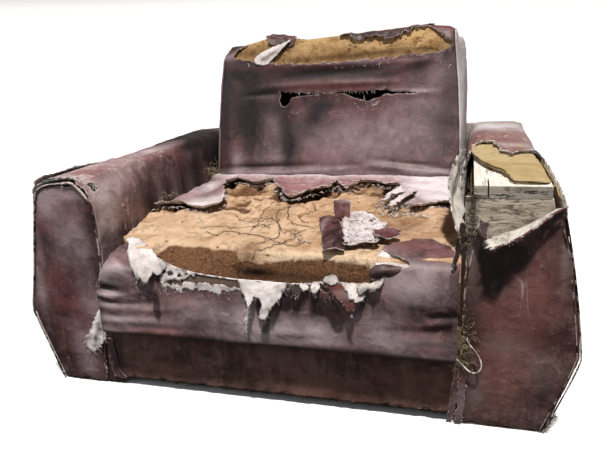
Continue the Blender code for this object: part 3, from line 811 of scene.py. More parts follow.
backFoam = metres({
    "cells": (180, 125), "cuts": 8, "fill": 0.75, "rim": 62, "roll": 16,
    "ridge": ([-387, -366, -310, -215, -150, -95, 33, 213, 293, 375, 387],
        [776, 786, 804, 826, 819, 811, 819, 831, 833, 806, 795]),
    "rumples": [(70, 3.5, 31, 1.5), (22, 1.8, 32, 1.2), (9, 0.8, 33, 1)],
    # soot: near-black painted shade inside the back's slit
    "soot": [(0, 640, 400, 50, 1), (120, 635, 200, 50, 1), (-160, 640, 100, 50, 1)],
    "grime": [(200, 764, 150, 12, 0.55), (-180, 792, 50, 22, 0.7), (-20, 756, 140, 12, 0.7),
        (-290, 782, 60, 22, 0.7), (340, 790, 20, 20, 0.4), (50, 780, 50, 10, 0.35)],
})


def backFoamShape(a, b, c, piece):
    low = deckZ + 0.001
    x = (2 * a - 1) * (backFlat(low + 0.53 * b) + 0.002)
    ridge = np.interp(x, *piece["ridge"])
    z = low + (ridge - low) * b
    over = np.clip((z - (ridge - piece["rim"])) / piece["rim"], 0, 1)
    bare = np.clip((z - 0.715) / 0.02, 0, 1)
    slit = np.exp(-((z - 0.638) / 0.035) ** 2) * np.clip((0.32 - np.abs(x)) / 0.06, 0, 1)
    front = backY(z) + 0.0115 - 0.0073 * bare + 0.022 * slit + piece["roll"] * over ** 2.2
    swell = relief(x, z, piece) * np.clip((z - 0.69) / 0.05, 0.1, 1)
    front = front - np.maximum(swell, -0.004) * (over > 0)
    rear = np.minimum(backY(z) + 0.0634, 0.4255)
    y = rear + (front - rear) * c
    z = z + 0.004 * np.sin(math.pi * c) * (b > 0.999)
    grime = np.where(c > 0.97, tones(x, z, piece["grime"]), 0.15)
    return np.stack([x, y, z], axis=1), grime


foamBlock("backFoam", backFoam, backFoamShape, backFoamFinish, "foam", ["back_foam"])
print("foam cut")


def slab(name, outline, start, end, finish, slot, nodes, bevel=0.003, top=None, way="y"):
    # an (x, z) outline extruded along y, or a (y, z) one extruded along x
    bm = bmesh.new()
    corners = [(start, a, z) if way == "x" else (a, start, z) for a, z in outline]
    face = bm.faces.new([bm.verts.new(corner) for corner in corners])
    moved = bmesh.ops.extrude_face_region(bm, geom=[face])["geom"]
    bmesh.ops.translate(bm, vec=(end - start, 0, 0) if way == "x" else (0, end - start, 0),
                        verts=[part for part in moved if isinstance(part, bmesh.types.BMVert)])
    bmesh.ops.recalc_face_normals(bm, faces=bm.faces)
    for face in bm.faces:
        face.material_index = 1 if top and face.normal.z > 0.7 else 0
    made = bpy.data.objects.new(name, meshFrom(bm, name, finish, *([top] if top else [])))
    edge = made.modifiers.new("edge", "BEVEL")
    edge.width, edge.segments = bevel, 2
    return seat(made, slot, *nodes)


# posts and top rail of the back, their upper corners rounded off under the cover
for side, name, top in ((-1, "left", 0.768), (1, "right", 0.786)):
    slab(name + "BackPost", [(0.338, 0.1203), (frameRear, 0.1203), (frameRear, top),
                             (backY(top) + 0.069, top), (backY(0.3) + 0.069, 0.3), (0.3088, 0.2696),
                             (0.338, 0.2696)], side * 0.366, side * 0.3865, frameWood, "frame_wood",
         ["back_post_" + name], way="x")
slab("backTopRail", mm([(-365, 745), (-365, 766), (-300, 788), (300, 797), (365, 790), (365, 745)]), 0.4267,
     0.449, frameWood, "frame_wood", ["back_top_rail"])


# Seat front: the vinyl band, torn open along its top, and everything that hangs from it
bandPath = smoothPath(mm([(-426.2, 171.2), (-440, 170.8), (-451.5, 172.5), (-455.2, 180), (-456, 200),
        (-456, 260), (-455.5, 300), (-454.5, 318), (-452.5, 330), (-450, 345), (-446.5, 358.5),
        (-437, 371.5), (-410, 384), (-370, 388.5), (-300, 390), (-200, 390.5)]))
bandRun = np.concatenate([[0], np.cumsum(np.linalg.norm(np.diff(bandPath, axis=0), axis=1))])
bandBase = 0.2 - float(np.interp(0.2, bandPath[:40, 1], bandRun[:40]))


def onBand(u, v, height):
    # v is the height on the band's face, then goes on over the seat's front edge
    spot, normal = along(bandPath, np.asarray(v) - bandBase)
    height = np.maximum(height, np.where(np.asarray(v) < 0.27, -0.0035, -0.009))
    spot = spot + normal * height[:, None]
    return np.stack([u, spot[:, 0], spot[:, 1]], axis=1)


seatBand = metres({
    "seed": 4, "cell": 4.8, "held": "stretched", "ragged": 1.3,
    "outline": [(-402, 147.5, 0), (408, 147.5, 0), (407, 330, 0), (410, 380, 0), (397, 430, 2),
        (388, 452, 2), (351, 486, 2.5), (307, 481, 2), (252, 440, 2), (260, 415, 2), (278, 394, 2),
        (298, 384, 2), (313, 380, 1), (324, 370, 1), (302, 369, 2), (276, 364, 2), (260, 356, 3),
        (248, 330, 3), (228, 318, 4), (150, 312, 5), (100, 306, 6), (50, 310, 4), (-45, 302, 4),
        (-100, 308, 4), (-175, 305, 5), (-215, 298, 4), (-235, 315, 3), (-290, 350, 2), (-325, 412, 1),
        (-342, 390, 1), (-359, 364, 1), (-374, 338, 1), (-387, 316, 1), (-396, 298, 1), (-404, 276, 1),
        (-403, 250, 0)],
    "folds": [(-385, 326, -310, 342, 24, 11), (-410, 291, -352, 283, 8.5, -15),
        (-350, 366, -316, 340, 5, -5), (-325, 336, -305, 318, 5, -4), (262, 405, 322, 378, 14, 6),
        (-402, 272, -360, 262, 7, 4.5), (-350, 270, -270, 286, 6, 3), (-400, 258, -345, 246, 5, -2.8),
        (-335, 248, -245, 262, 5.5, -2.2), (-402, 241, -330, 226, 8, 2.8), (-310, 232, -190, 250, 8, 2.2),
        (-395, 222, -340, 210, 5, -1.8), (-400, 205, -250, 214, 9, 3.4), (-330, 192, -160, 200, 6, -2),
        (-400, 183, -100, 187, 8, 3), (-240, 262, -120, 256, 12, 2), (-160, 232, -20, 228, 14, 2.4),
        (-20, 205, 160, 214, 12, 2.4), (280, 345, 380, 330, 50, 8), (350, 268, 408, 276, 6.5, -5),
        (340, 252, 405, 262, 7, 4), (240, 232, 400, 240, 8, -2.6), (300, 216, 400, 222, 12, 4),
        (100, 190, 400, 194, 10, 3), (385, 305, 410, 290, 10, 5), (300, 300, 400, 288, 12, 3),
        (-100, 250, 50, 240, 30, -2)],
    "rumples": [(130, 3, 41, 1.6), (45, 1.1, 42, 1.4), (14, 0.3, 43, 1)],
    # pale: lilac bloom, with painted highlights on the left bulge and along fold ridges
    "pale": [(-375, 310, 45, 16, 1), (-345, 345, 30, 12, 0.5), (310, 335, 70, 35, 0.75),
        (-310, 212, 90, 14, 0.9), (-360, 272, 50, 6, 0.8), (-340, 245, 70, 7, 0.8), (0, 210, 120, 35, 0.8),
        (100, 207, 70, 22, 1), (90, 235, 50, 16, 0.8), (330, 212, 80, 13, 0.6), (-150, 255, 100, 30, 0.5),
        (260, 410, 50, 40, 0.3), (240, 240, 60, 40, 0.6), (-30, 240, 30, 50, 0.8), (-330, 335, 50, 10, 0.9),
        (-380, 180, 50, 6, 0.8), (300, 185, 120, 7, 0.6)],
    "worn": [(-330, 345, 20, 20, 0.9), (-200, 275, 40, 20, 0.8), (-100, 285, 90, 15, 0.5),
        (310, 450, 60, 30, 0.9), (180, 180, 80, 20, 0.5), (-240, 170, 100, 15, 0.4)],
    # dark: painted shade in the creases and fold grooves, and darker along the band's foot
    "dark": [(-378, 288, 33, 7, 1), (-360, 254, 40, 3, 0.7), (-370, 222, 40, 3, 0.5),
        (-280, 196, 80, 4, 0.3), (350, 238, 50, 5, 0.5), (395, 262, 18, 8, 0.7), (0, 152, 500, 12, 0.6),
        (315, 362, 20, 6, 0.4)],
    # soot: cast shadows of the rags and the bulge, painted on the band below them
    "soot": [(-382, 287, 26, 6, 1), (-249, 252, 12, 50, 0.75), (6, 236, 18, 45, 0.7),
        (14, 272, 26, 20, 0.5), (57, 284, 16, 28, 0.8), (138, 278, 36, 26, 0.8), (168, 238, 18, 26, 0.7)],
})
slab("frontRail", mm([(-400, 173.6), (-400, 264), (408, 264), (408, 173.6)]), -0.45, -0.425, frameWood,
     "frame_wood", ["front_rail"])
band = cloth("seatBand", seatBand, onBand, bandVinyl, canvasGrubby, "vinyl", ["seat_front_band"])

# lining that the tear lays bare: a brown strip under a white hem
seatLining = metres({
    "seed": 8, "cell": 5, "held": "stretched", "thick": 1.2,
    "outline": [(-245, 275, 0), (262, 275, 0), (262, 352, 1), (226, 330, 1), (158, 334, 1), (104, 326, 1),
        (-42, 327, 0.8), (-100, 331, 0.8), (-146, 336, 0.8), (-191, 345, 1), (-240, 366, 1)],
    "rumples": [(30, 0.6, 51, 1.5)], "dark": [(-140, 326, 110, 6, 0.3), (100, 290, 500, 14, 0.6)],
})
cloth("seatLining", seatLining, above(onBand, -0.0022), brownLining, canvasGrubby, "canvas_backing", ())
hemLine = onBand(*smoothPath(mm([(-245, 367), (-236, 363), (-191, 344), (-146, 335), (-100, 330),
        (-42, 326), (58, 324), (104, 325), (158, 333), (226, 329), (254, 342)]), 4).T, np.full(41, -0.0014))
strands("seatHem", [hemLine], 0.0042, whiteThread)
print("seat band torn")


# Arms: a section from the inner foot over the top to the outer foot, lofted from front to rear
frontSection = smoothPath(mm([(412.5, 262), (411.5, 360), (411.5, 430), (413, 463), (422.5, 489),
        (438, 509), (456, 524.5), (486, 527.5), (516, 525), (540, 518), (556, 506), (567, 482), (588, 400),
        (610.5, 300), (633, 204), (629, 168), (611, 110), (579, 4)]), 4)
rearSection = smoothPath(mm([(412.5, 262), (411.5, 360), (411.5, 430), (413, 475), (418.5, 505),
        (434, 525.5), (456, 529), (486, 528.5), (518, 526.5), (544, 522), (561, 511), (571, 493),
        (592, 410), (614, 305), (635, 194), (634, 168), (616, 110), (581.5, 4)]), 4)
rightSection = smoothPath(mm([(412.5, 262), (411.5, 360), (411.5, 430), (413, 475), (418.5, 505),
        (434, 529), (456, 534), (486, 534.5), (518, 534.3), (556, 532.5), (573, 522), (582.5, 503),
        (604.5, 410), (629, 305), (641, 194), (639, 168), (621, 110), (585, 4)]), 4)


def onArm(side, front, rear):
    # u runs over the section, v along the arm; the front section gives way to the rear one
    def place(u, v, height):
        share = np.clip((np.asarray(v) - armFront) / 0.55, 0, 1)[:, None]
        first, firstOut = along(front, u)
        last, lastOut = along(rear, u)
        spot = first * (1 - share) + last * share
        out = firstOut * (1 - share) + lastOut * share
        spot = spot + out * np.asarray(height)[:, None]
        return np.stack([side * spot[:, 0], v, spot[:, 1]], axis=1)
    return place


onLeftArm = onArm(-1, frontSection, rearSection)
onRightArm = onArm(1, rightSection, rightSection)

leftArm = metres({
    "seed": 9, "cell": 5.6, "held": "stretched", "curl": (7, 5), "ragged": 1.3,
    "outline": [(0, -406.8, 0), (225, -406.8, 2), (260, -400, 4), (300, -396, 5), (340, -401, 5),
        (380, -405, 3), (450, -406, 0), (900, -406.8, 0), (900, 450, 0), (0, 450, 0)],
    "holes": [[(366, -392, 2), (368, -340, 2), (363, -290, 2), (356, -238, 2), (349, -165, 1),
        (343, -150, 1), (341, -185, 2), (345, -240, 3), (347, -290, 3), (345, -335, 3), (339, -372, 2),
        (345, -390, 2)], [(262, -385, 2), (256, -362, 1), (236, -360, 1), (232, -378, 1)]],
    "folds": [(60, -205, 200, -195, 16, 3), (30, -150, 200, -165, 14, -2.4), (50, -100, 200, -112, 16, 4),
        (40, -55, 190, -70, 12, -2.4), (50, -10, 200, -20, 16, 5), (40, 40, 190, 30, 12, -2.4),
        (50, 85, 200, 78, 16, 5), (40, 135, 190, 128, 12, -2.4), (50, 190, 200, 190, 20, 5),
        (40, -330, 190, -335, 30, 2), (300, -120, 300, 100, 16, -4), (335, -100, 330, 50, 14, 3),
        (250, 20, 250, 260, 20, -5), (400, -200, 460, 200, 30, -3), (550, -250, 680, 50, 35, 4),
        (500, 50, 660, 300, 35, -4)],
    "rumples": [(100, 2.2, 61, 0.8), (35, 1, 62, 1), (12, 0.3, 63, 1)],
    # pale: painted highlights on the inner face's fold ridges and painted light on the lit inner face and
    # top, with bloom
    "pale": [(310, -20, 30, 100, 0.9), (300, -200, 50, 100, 0.55), (170, -350, 70, 50, 1),
        (130, -240, 60, 40, 0.5), (100, -400, 100, 40, 0.8), (300, -370, 80, 20, 1),
        (360, -220, 30, 100, 0.7), (240, -300, 30, 80, 0.6), (360, -350, 30, 60, 0.5),
        (140, -110, 50, 15, 0.5), (140, -20, 50, 15, 0.5), (140, 80, 60, 15, 0.5), (340, 200, 50, 120, 0.5),
        (120, 190, 60, 20, 0.4)],
    "worn": [(320, -300, 70, 140, 1), (340, -100, 50, 140, 0.9), (130, -270, 60, 30, 0.8),
        (270, 20, 15, 100, 0.8), (280, -380, 100, 40, 0.8)],
    # dark: painted shade in the inner face's fold grooves and painted shadow of the back over the arm's rear
    "dark": [(100, 270, 140, 50, 0.8), (310, 280, 150, 170, 1.2), (140, 100, 100, 130, 0.7),
        (140, -140, 100, 100, 0.5), (380, 60, 30, 160, 0.5), (130, -155, 50, 10, 0.5),
        (130, -60, 60, 10, 0.6), (130, 36, 60, 10, 0.65), (130, 132, 70, 12, 0.7), (260, 140, 20, 100, 0.5),
        (70, -380, 60, 30, 0.4)],
})
leftArmMade = cloth("leftArmCover", leftArm, onLeftArm, armVinyl, canvas, "vinyl",
                    ["arm_cover_left", "arm_top_foam_left"])

shoulderFlap = metres({
    "seed": 10, "cell": 4, "held": "draped", "curl": (6, 3), "ragged": 1.6,
    "lift": ([-404, -300, -200, -135], [12, 10, 6, 1]),
    "outline": [(342, -403, 4), (352, -385, 4), (355, -340, 4), (358, -300, 4), (361, -255, 4),
        (367, -210, 3), (376, -165, 3), (390, -140, 3), (400, -170, 2), (404, -280, 3), (402, -404, 4)],
    "rumples": [(22, 3.4, 65, 1.2), (9, 1.8, 66, 1)],
    "pale": [(345, -360, 15, 60, 1), (360, -240, 12, 60, 0.8)], "worn": [(380, -280, 40, 140, 1)],
    "dark": [(375, -310, 8, 30, 0.9), (370, -220, 6, 20, 0.8)],
})


def onShoulder(u, v, height):
    # torn lip along the arm's outer edge, standing up most at the front
    spot = onLeftArm(u, v, height + 0.0012)
    lift = np.interp(v, *shoulderFlap["lift"])
    spot[:, 2] += lift * np.sin(math.pi / 2 * np.clip((0.404 - np.asarray(u)) / 0.03, 0, 1))
    return spot


flapMade = cloth("shoulderFlap", shoulderFlap, onShoulder, armVinyl, canvas, "vinyl", ())
leftFacing = metres({
    "seed": 12, "cell": 5, "held": "stretched",
    "outline": [(-574, 4, 1), (-456, 4, 2), (-450, 60, 2), (-442, 120, 1), (-432, 190, 0), (-424.5, 250, 0),
        (-417.5, 310, 0), (-415, 360, 0), (-414.5, 430, 0), (-416, 460, 0), (-424, 482, 0), (-438, 499, 1),
        (-455, 512, 1.5), (-486, 514.5, 1.5), (-518, 512, 1.5), (-538, 506, 1), (-553, 495, 1),
        (-563, 471, 1), (-586, 390, 0), (-607, 295, 0), (-629, 204, 0), (-624, 168, 0), (-607, 108, 0)],
    "folds": [(-575, 215, -552, 20, 10, -3), (-545, 160, -535, 20, 16, 3.5), (-510, 100, -500, 10, 14, -2),
        (-600, 220, -470, 200, 30, 3), (-500, 450, -490, 280, 50, 5), (-440, 440, -435, 260, 12, -2)],
    "rumples": [(90, 2, 71, 0.7), (30, 0.7, 72, 0.8), (12, 0.2, 73, 1)],
    # pale at the facing's top: painted light, with bloom below
    "pale": [(-545, 470, 30, 35, 1), (-500, 495, 70, 16, 1), (-500, 400, 40, 70, 0.75),
        (-455, 380, 20, 80, 0.45), (-500, 80, 30, 60, 0.75), (-460, 220, 30, 50, 0.6),
        (-600, 250, 14, 60, 0.6), (-580, 360, 12, 50, 0.5)],
    "worn": [(-505, 475, 30, 25, 0.9), (-540, 290, 40, 50, 0.7), (-490, 200, 50, 40, 0.6),
        (-450, 450, 20, 30, 0.6), (-560, 120, 20, 50, 0.4)],
    # dark along the inner edge by the welt: painted shade; darker along the outer edge and the foot
    "dark": [(-585, 120, 25, 60, 0.35), (-425, 400, 8, 80, 0.45), (-520, 10, 100, 12, 0.4)],
})
onFacing = inFront(seamGap)
leftFacingMade = cloth("leftFacing", leftFacing, onFacing, vinyl, canvas, "vinyl", ["arm_facing_left"])


# boards and pad under the left cover, their corners rounded off by wear
# the top and front boards take near-black wood: painted shade in the gap behind the facing
slab("leftTopBoard", mm([(-436, 496), (-436, 502), (-456, 512), (-510, 506), (-536, 499), (-540, 496)]),
     armFront + 0.004, frameRear, stainedWood, "weathered_wood", ["arm_top_board_left"])
slab("leftSidePad", mm([(-418.5, 270), (-418.5, 430), (-422.5, 452), (-423.7, 270)]), -0.3834, 0.43,
     armFoamFinish, "foam", ["arm_side_pad_left"], 0.001)
slab("leftInnerPanel", mm([(-424, 20), (-424, 455), (-427, 470), (-428, 20)]), -0.3834, 0.4304, hardboard,
     "hardboard", ["arm_inner_panel_left"], 0.0008)
slab("leftFrontBoard", mm([(-416, 0), (-416, 440), (-426, 476), (-446, 495.5), (-510, 495.5), (-548, 482),
                           (-564, 450), (-603, 295), (-626, 198), (-573, 0)]), armFront + 0.0036,
     armFront + 0.0233, stainedWood, "board_wood", ["arm_front_board_left"])
slab("leftOuterPanel", mm([(-624, 206), (-570, 462), (-566, 460), (-620, 206)]), armFront + 0.0236, 0.4304,
     hardboard, "hardboard", ["arm_outer_upper_panel_left"], 0.0008)


def beadLine(name, points, radius, finish, nodes=(), lift=0.0):
    # (x, z) points, radius and lift in mm
    radius, lift = mm(radius), mm(lift)
    route = smoothPath([(x, armFront - radius - seamGap - lift, z) for x, z in mm(points)], 5)
    made = strands(name, [route], 2 * radius, finish, 2)
    if nodes:
        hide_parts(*nodes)
    return made


beadLine("leftWeltTop", [(-482, 521), (-470, 522.5), (-454.5, 521.5), (-437, 507), (-421, 486)], 3,
         weltPale, lift=0.6)
beadLine("leftWelt", [(-437, 507), (-421, 486), (-412.5, 462), (-410.5, 420), (-412, 349), (-419, 280),
                      (-425.5, 232), (-437, 150), (-448, 30)], 2.5, weltRed, ["arm_welt_left"])
beadLine("leftPiping", [(-486, 521), (-518, 518), (-541, 511.5), (-556.5, 500.5), (-568, 469),
                        (-588.5, 385), (-610, 290), (-632.5, 203), (-627, 166), (-609.5, 107), (-578, 6)],
         2.2, weltDull)
print("left arm covered")


# Apron under the band, in its shade, with a slack lower hem
apron = metres({
    "seed": 15, "cell": 6, "held": "stretched",
    "outline": [(-410, 21.5, 3), (-200, 22.5, 3), (150, 21.5, 3), (360, 24, 3), (411, 21.5, 0),
        (411, 167.5, 0), (-410, 167.5, 0)],
    "folds": [(-390, 30, -360, 150, 20, 3), (-200, 100, 200, 90, 40, -1.5), (340, 30, 380, 150, 12, -2)],
    "rumples": [(100, 1.4, 81, 1.6), (30, 0.6, 82, 1.2)],
    "worn": [(-300, 60, 100, 20, 0.7), (100, 50, 150, 20, 0.6), (300, 90, 80, 30, 0.5)],
    # dark: painted shadow of the band along the top, and painted shade at the left end
    "dark": [(0, 165, 600, 30, 0.5), (-400, 90, 15, 80, 0.6)],
})
apronMade = cloth("apron", apron, inFront(seamGap), apronVinyl, canvasGrubby, "vinyl", ["apron_cover"])
print("apron hung")


# Back: one raked cover, slit across and torn off along its top
coverRidge = mm(([-400, -366, -330, -300, 285, 350, 375, 400],
                 [772, 790, 802, 806, 838, 832, 820, 798]))
backPath = np.array([(backY(0.29), 0.29), (backY(0.775), 0.775), (0.353, 0.788), (0.36, 0.799),
                     (0.372, 0.808), (0.388, 0.812), (0.405, 0.812), (0.43, 0.808), (0.4505, 0.8)])


def sideRun(v):
    # how far round the side the rear panel lies, measured from the flat face's edge
    return 0.022 + (frameRear - 0.0155 - float(along(backPath, (v - 0.29) * rake["length"])[0][0])) / 0.98


def onBack(u, v, height):
    # v is the height up the face, then goes on over the top; u wraps round the sides and runs back along them
    spot, normal = along(backPath, (np.asarray(v) - 0.29) * rake["length"])
    height = np.asarray(height)
    lift = (np.interp(u, *coverRidge) - 0.76) / 0.052
    high = np.where(spot[:, 1] > 0.76, 0.76 + (spot[:, 1] - 0.76) * lift, spot[:, 1])
    level = np.clip((spot[:, 0] - 0.385) / 0.03, 0, 1)
    high = high * (1 - level) + np.maximum(high, 0.8035) * level
    bend, flat = 0.014, backFlat(v) + np.where(np.asarray(u) < 0, 0.005, 0.0)
    over = np.maximum(np.abs(u) - flat, 0)
    angle = np.minimum(over / bend, math.pi / 2)
    past = np.maximum(over - bend * math.pi / 2, 0)
    flare = np.interp(v, [0.545, 0.79], [0.1, 0.26])
    x = np.sign(u) * (np.minimum(np.abs(u), flat) + (bend + height) * np.sin(angle) + flare * past)
    y = spot[:, 0] + normal[:, 0] * height * np.cos(angle) + bend * (1 - np.cos(angle)) + 0.98 * past
    z = high + normal[:, 1] * height * np.cos(angle)
    return np.stack([x, y, z], axis=1)


backCover = metres({
    "seed": 17, "cell": 4.7, "held": "stretched", "curl": (6, 3), "ragged": 1.2,
    "outline": [(-398, 310, 0), (398, 310, 0), (392, 545, 0), (384, 675, 0), (372, 790, 0), (372, 880, 2),
        (240, 886, 3), (226, 862, 4), (244, 842, 3), (272, 827, 2), (298, 814, 2), (326, 797, 2),
        (350, 784, 1.5), (362, 777, 1.5), (352, 768, 1.5), (333, 759, 2), (275, 752, 3), (187, 750, 3),
        (97, 746, 3), (4, 741, 3), (-92, 740, 3), (-169, 743, 3), (-250, 749, 2), (-297, 760, 2),
        (-336, 768, 3), (-343, 785, 3), (-322, 803, 3), (-296, 820, 3), (-306, 880, 2), (-372, 880, 0),
        (-372, 790, 0), (-384, 675, 0), (-392, 545, 0)],
    "holes": [[(-184, 664, 1), (-176, 650, 1), (-181, 630, 0.5), (-174, 614, 0.5), (-160, 611, 0.5),
        (-149, 620, 1), (-138, 638, 1), (-94, 643, 1), (-27, 646, 1), (35, 645, 1), (62, 634, 1),
        (88, 626, 1), (109, 620, 1), (132, 627, 1), (163, 640, 1), (220, 641.5, 1), (290, 642.5, 1),
        (240, 646, 1), (175, 650, 2), (141, 655, 2), (70, 652.5, 2), (14, 650.5, 2), (-60, 651, 2),
        (-127, 653, 2), (-160, 658, 2)]],
    "folds": [(-380, 396, 30, 412, 10, 10), (-370, 418, -40, 430, 7, -5), (100, 428, 385, 396, 10, 10),
        (120, 448, 360, 420, 7, -4.5), (-20, 425, 140, 432, 8, -3), (-340, 438, -100, 446, 12, 3.5),
        (-345, 430, -352, 600, 17, 7), (-290, 430, -275, 640, 20, -6), (-228, 430, -215, 620, 22, 7),
        (-160, 420, -150, 600, 20, -5), (-100, 430, -110, 580, 24, 4.5), (-50, 440, -60, 600, 22, -3),
        (0, 600, 180, 530, 30, 3), (220, 620, 370, 560, 30, 3), (100, 460, 120, 560, 20, -2),
        (240, 450, 260, 550, 20, 2), (-240, 672, -80, 676, 9, 5), (-80, 676, 200, 676, 9, 5.5),
        (-160, 705, 140, 712, 14, -5), (-280, 735, 300, 738, 10, 4), (140, 700, 360, 755, 12, 3.5),
        (190, 635, 330, 641, 10, 3.5), (-300, 648, -190, 652, 7, -5), (-300, 660, -360, 740, 16, -2.5)],
    "rumples": [(120, 2.2, 91, 1.2), (40, 0.8, 92, 1.3), (13, 0.2, 93, 1)],
    # pale: bloom, with painted highlights along the base roll and the upper ridge
    "pale": [(-330, 440, 25, 50, 0.6), (-200, 450, 60, 50, 0.45), (50, 500, 200, 80, 0.75),
        (270, 580, 90, 90, 0.6), (300, 470, 70, 50, 0.45), (-205, 560, 25, 50, 0.5),
        (-360, 780, 30, 20, 0.9), (250, 405, 100, 10, 0.9), (-150, 402, 200, 9, 0.8),
        (330, 700, 40, 50, 0.5), (100, 738, 160, 8, 0.45)],
    "worn": [(0, 700, 160, 40, 0.7), (20, 675, 180, 14, 0.6), (100, 600, 120, 40, 0.6),
        (-240, 720, 50, 20, 0.6), (330, 830, 60, 40, 1), (-20, 450, 120, 40, 0.4), (200, 740, 80, 10, 0.7)],
    # dark: painted shade in fold grooves and creases, and painted shadow patches over the face
    "dark": [(-285, 540, 30, 140, 0.8), (-385, 600, 40, 250, 0.8), (-155, 510, 24, 70, 0.9),
        (-70, 570, 30, 30, 0.6), (-100, 530, 30, 40, 0.5), (-130, 485, 30, 40, 0.5),
        (-150, 445, 30, 30, 0.4), (-30, 615, 40, 18, 0.7), (100, 716, 200, 14, 0.3),
        (330, 550, 60, 120, 0.4), (-200, 610, 50, 30, 0.6), (80, 612, 80, 12, 0.5),
        (-100, 710, 340, 16, 0.5), (-300, 640, 70, 90, 0.45), (360, 660, 30, 120, 0.35),
        (-160, 580, 80, 30, 0.35), (-240, 660, 60, 10, 0.8), (-100, 704, 100, 10, 0.4),
        (110, 700, 100, 8, 0.3), (-50, 590, 35, 30, 0.5), (-120, 385, 240, 7, 0.8), (250, 378, 140, 9, 0.7),
        (-200, 426, 160, 4, 0.7), (270, 436, 100, 4, 0.4), (-300, 715, 60, 30, 0.4),
        (0, 722, 250, 10, 0.45), (-310, 580, 50, 60, 0.4), (20, 688, 240, 18, 0.4),
        (-200, 675, 100, 20, 0.3)],
})
backMade = cloth("backCover", backCover, onBack, backVinyl, canvas, "vinyl", ["back_front_cover"])


def boxing(name, side, finish, seed):
    # side strip of the back, from the seam round its edge to the rear panel
    levels = (0.31, 0.545, 0.675, 0.79, 0.835)
    seam = [(float(backFlat(v)) + 0.011, v) for v in levels]
    rear = [(float(backFlat(v)) + sideRun(v), v) for v in reversed(levels)]
    piece = {"seed": seed, "cell": 0.0055, "held": "stretched",
             "outline": [(side * u, v, 0) for u, v in seam] + [(side * u, v,
                                                                0.0008 if v > 0.7 else 0) for u, v in rear],
             "folds": [(side * 0.42, 0.45, side * 0.44, 0.7, 0.02, 0.002)],
             "rumples": [(0.06, 0.001, seed + 1, 1.0), (0.02, 0.0004, seed + 2, 1.0)],
             "pale": [(side * 0.4, 0.55, 0.04, 0.3, 0.6)], "worn": [(side * 0.4, 0.76, 0.05, 0.04, 0.8)],
             "dark": [(side * 0.52, 0.45, 0.05, 0.2, 0.3)]}
    return cloth(name, piece, above(onBack, 0.0012), finish, finish, "vinyl", ())


# the right strip takes the pale copy: painted light
boxing("backBoxingRight", 1, boxingVinyl, 23)
boxing("backBoxingLeft", -1, backVinyl, 27)


def onBackFoam(u, v, height):
    ridge = np.interp(u, *backFoam["ridge"])
    over = np.clip((v - (ridge - backFoam["rim"])) / backFoam["rim"], 0, 1)
    front = backY(v) + 0.002 + backFoam["roll"] * over ** 2.2
    return np.stack([u, front - np.asarray(height), v], axis=1)


ridgePath = smoothPath(mm([(356, -30), (362, -16), (369, -4), (379, 2.5), (392, 4), (410, 2), (430, -2),
        (448, -6)]))


def onRidge(u, v, height):
    # v runs up the front of the foam's ridge, over it and back to the rear panel
    ridge = np.interp(u, *backFoam["ridge"])
    spot, normal = along(ridgePath, np.asarray(v))
    spot = spot + normal * np.asarray(height)[:, None]
    fall = np.clip((spot[:, 0] - 0.405) / 0.04, 0, 1)
    return np.stack([u, spot[:, 0], (ridge + spot[:, 1]) * (1 - fall) + (0.8045 + height) * fall], axis=1)


tornRidge = metres({
    "seed": 29, "cell": 4, "held": "draped", "curl": (12, 8), "ragged": 1.5,
    "outline": [(15, 34, 3), (50, 28, 4), (72, 16, 4), (90, 10, 4), (110, 20, 4), (140, 16, 4), (165, 6, 4),
        (190, 10, 4), (212, 20, 3), (255, 30, 3), (300, 40, 3), (318, 110, 0), (15, 110, 0)],
    "rumples": [(30, 3, 95, 1.2), (12, 1.6, 96, 1)], "dark": [(140, 20, 100, 30, 0.7)],
    "worn": [(280, 50, 50, 50, 0.9)], "pale": [(80, 18, 14, 8, 0.9)],
})
tornRidgeMade = cloth("tornRidge", tornRidge, onRidge, backVinyl, canvas, "vinyl", ["back_top_flap"])
ridgeCurl = metres({
    "seed": 30, "cell": 3.5, "held": "draped", "curl": (10, 6),
    "outline": [(-224, 22, 3), (-205, 8, 3), (-172, 2, 3), (-136, 12, 3), (-132, 50, 2), (-200, 60, 2),
        (-232, 45, 3)],
    "rumples": [(20, 4, 97, 1), (9, 1.5, 98, 1)], "dark": [(-180, 20, 30, 30, 0.6)],
})
ridgeCurlMade = cloth("ridgeCurl", ridgeCurl, onRidge, backVinyl, canvasGrubby, "vinyl", ())
whiteTongue = metres({
    "seed": 31, "cell": 3.5, "held": "draped", "curl": (10, 5),
    "outline": [(-138, 822, 1), (-160, 812, 1), (-200, 800, 1), (-246, 780, 2), (-268, 764, 2),
        (-262, 750, 3), (-236, 744, 3), (-212, 749, 2), (-194, 768, 1), (-170, 790, 1)],
    "folds": [(-250, 762, -150, 812, 10, 9)], "rumples": [(16, 2, 99, 1)],
})
tongueMade = cloth("whiteTongue", whiteTongue, above(onBackFoam, 0.004), canvas, backVinyl,
                   "canvas_backing", ())

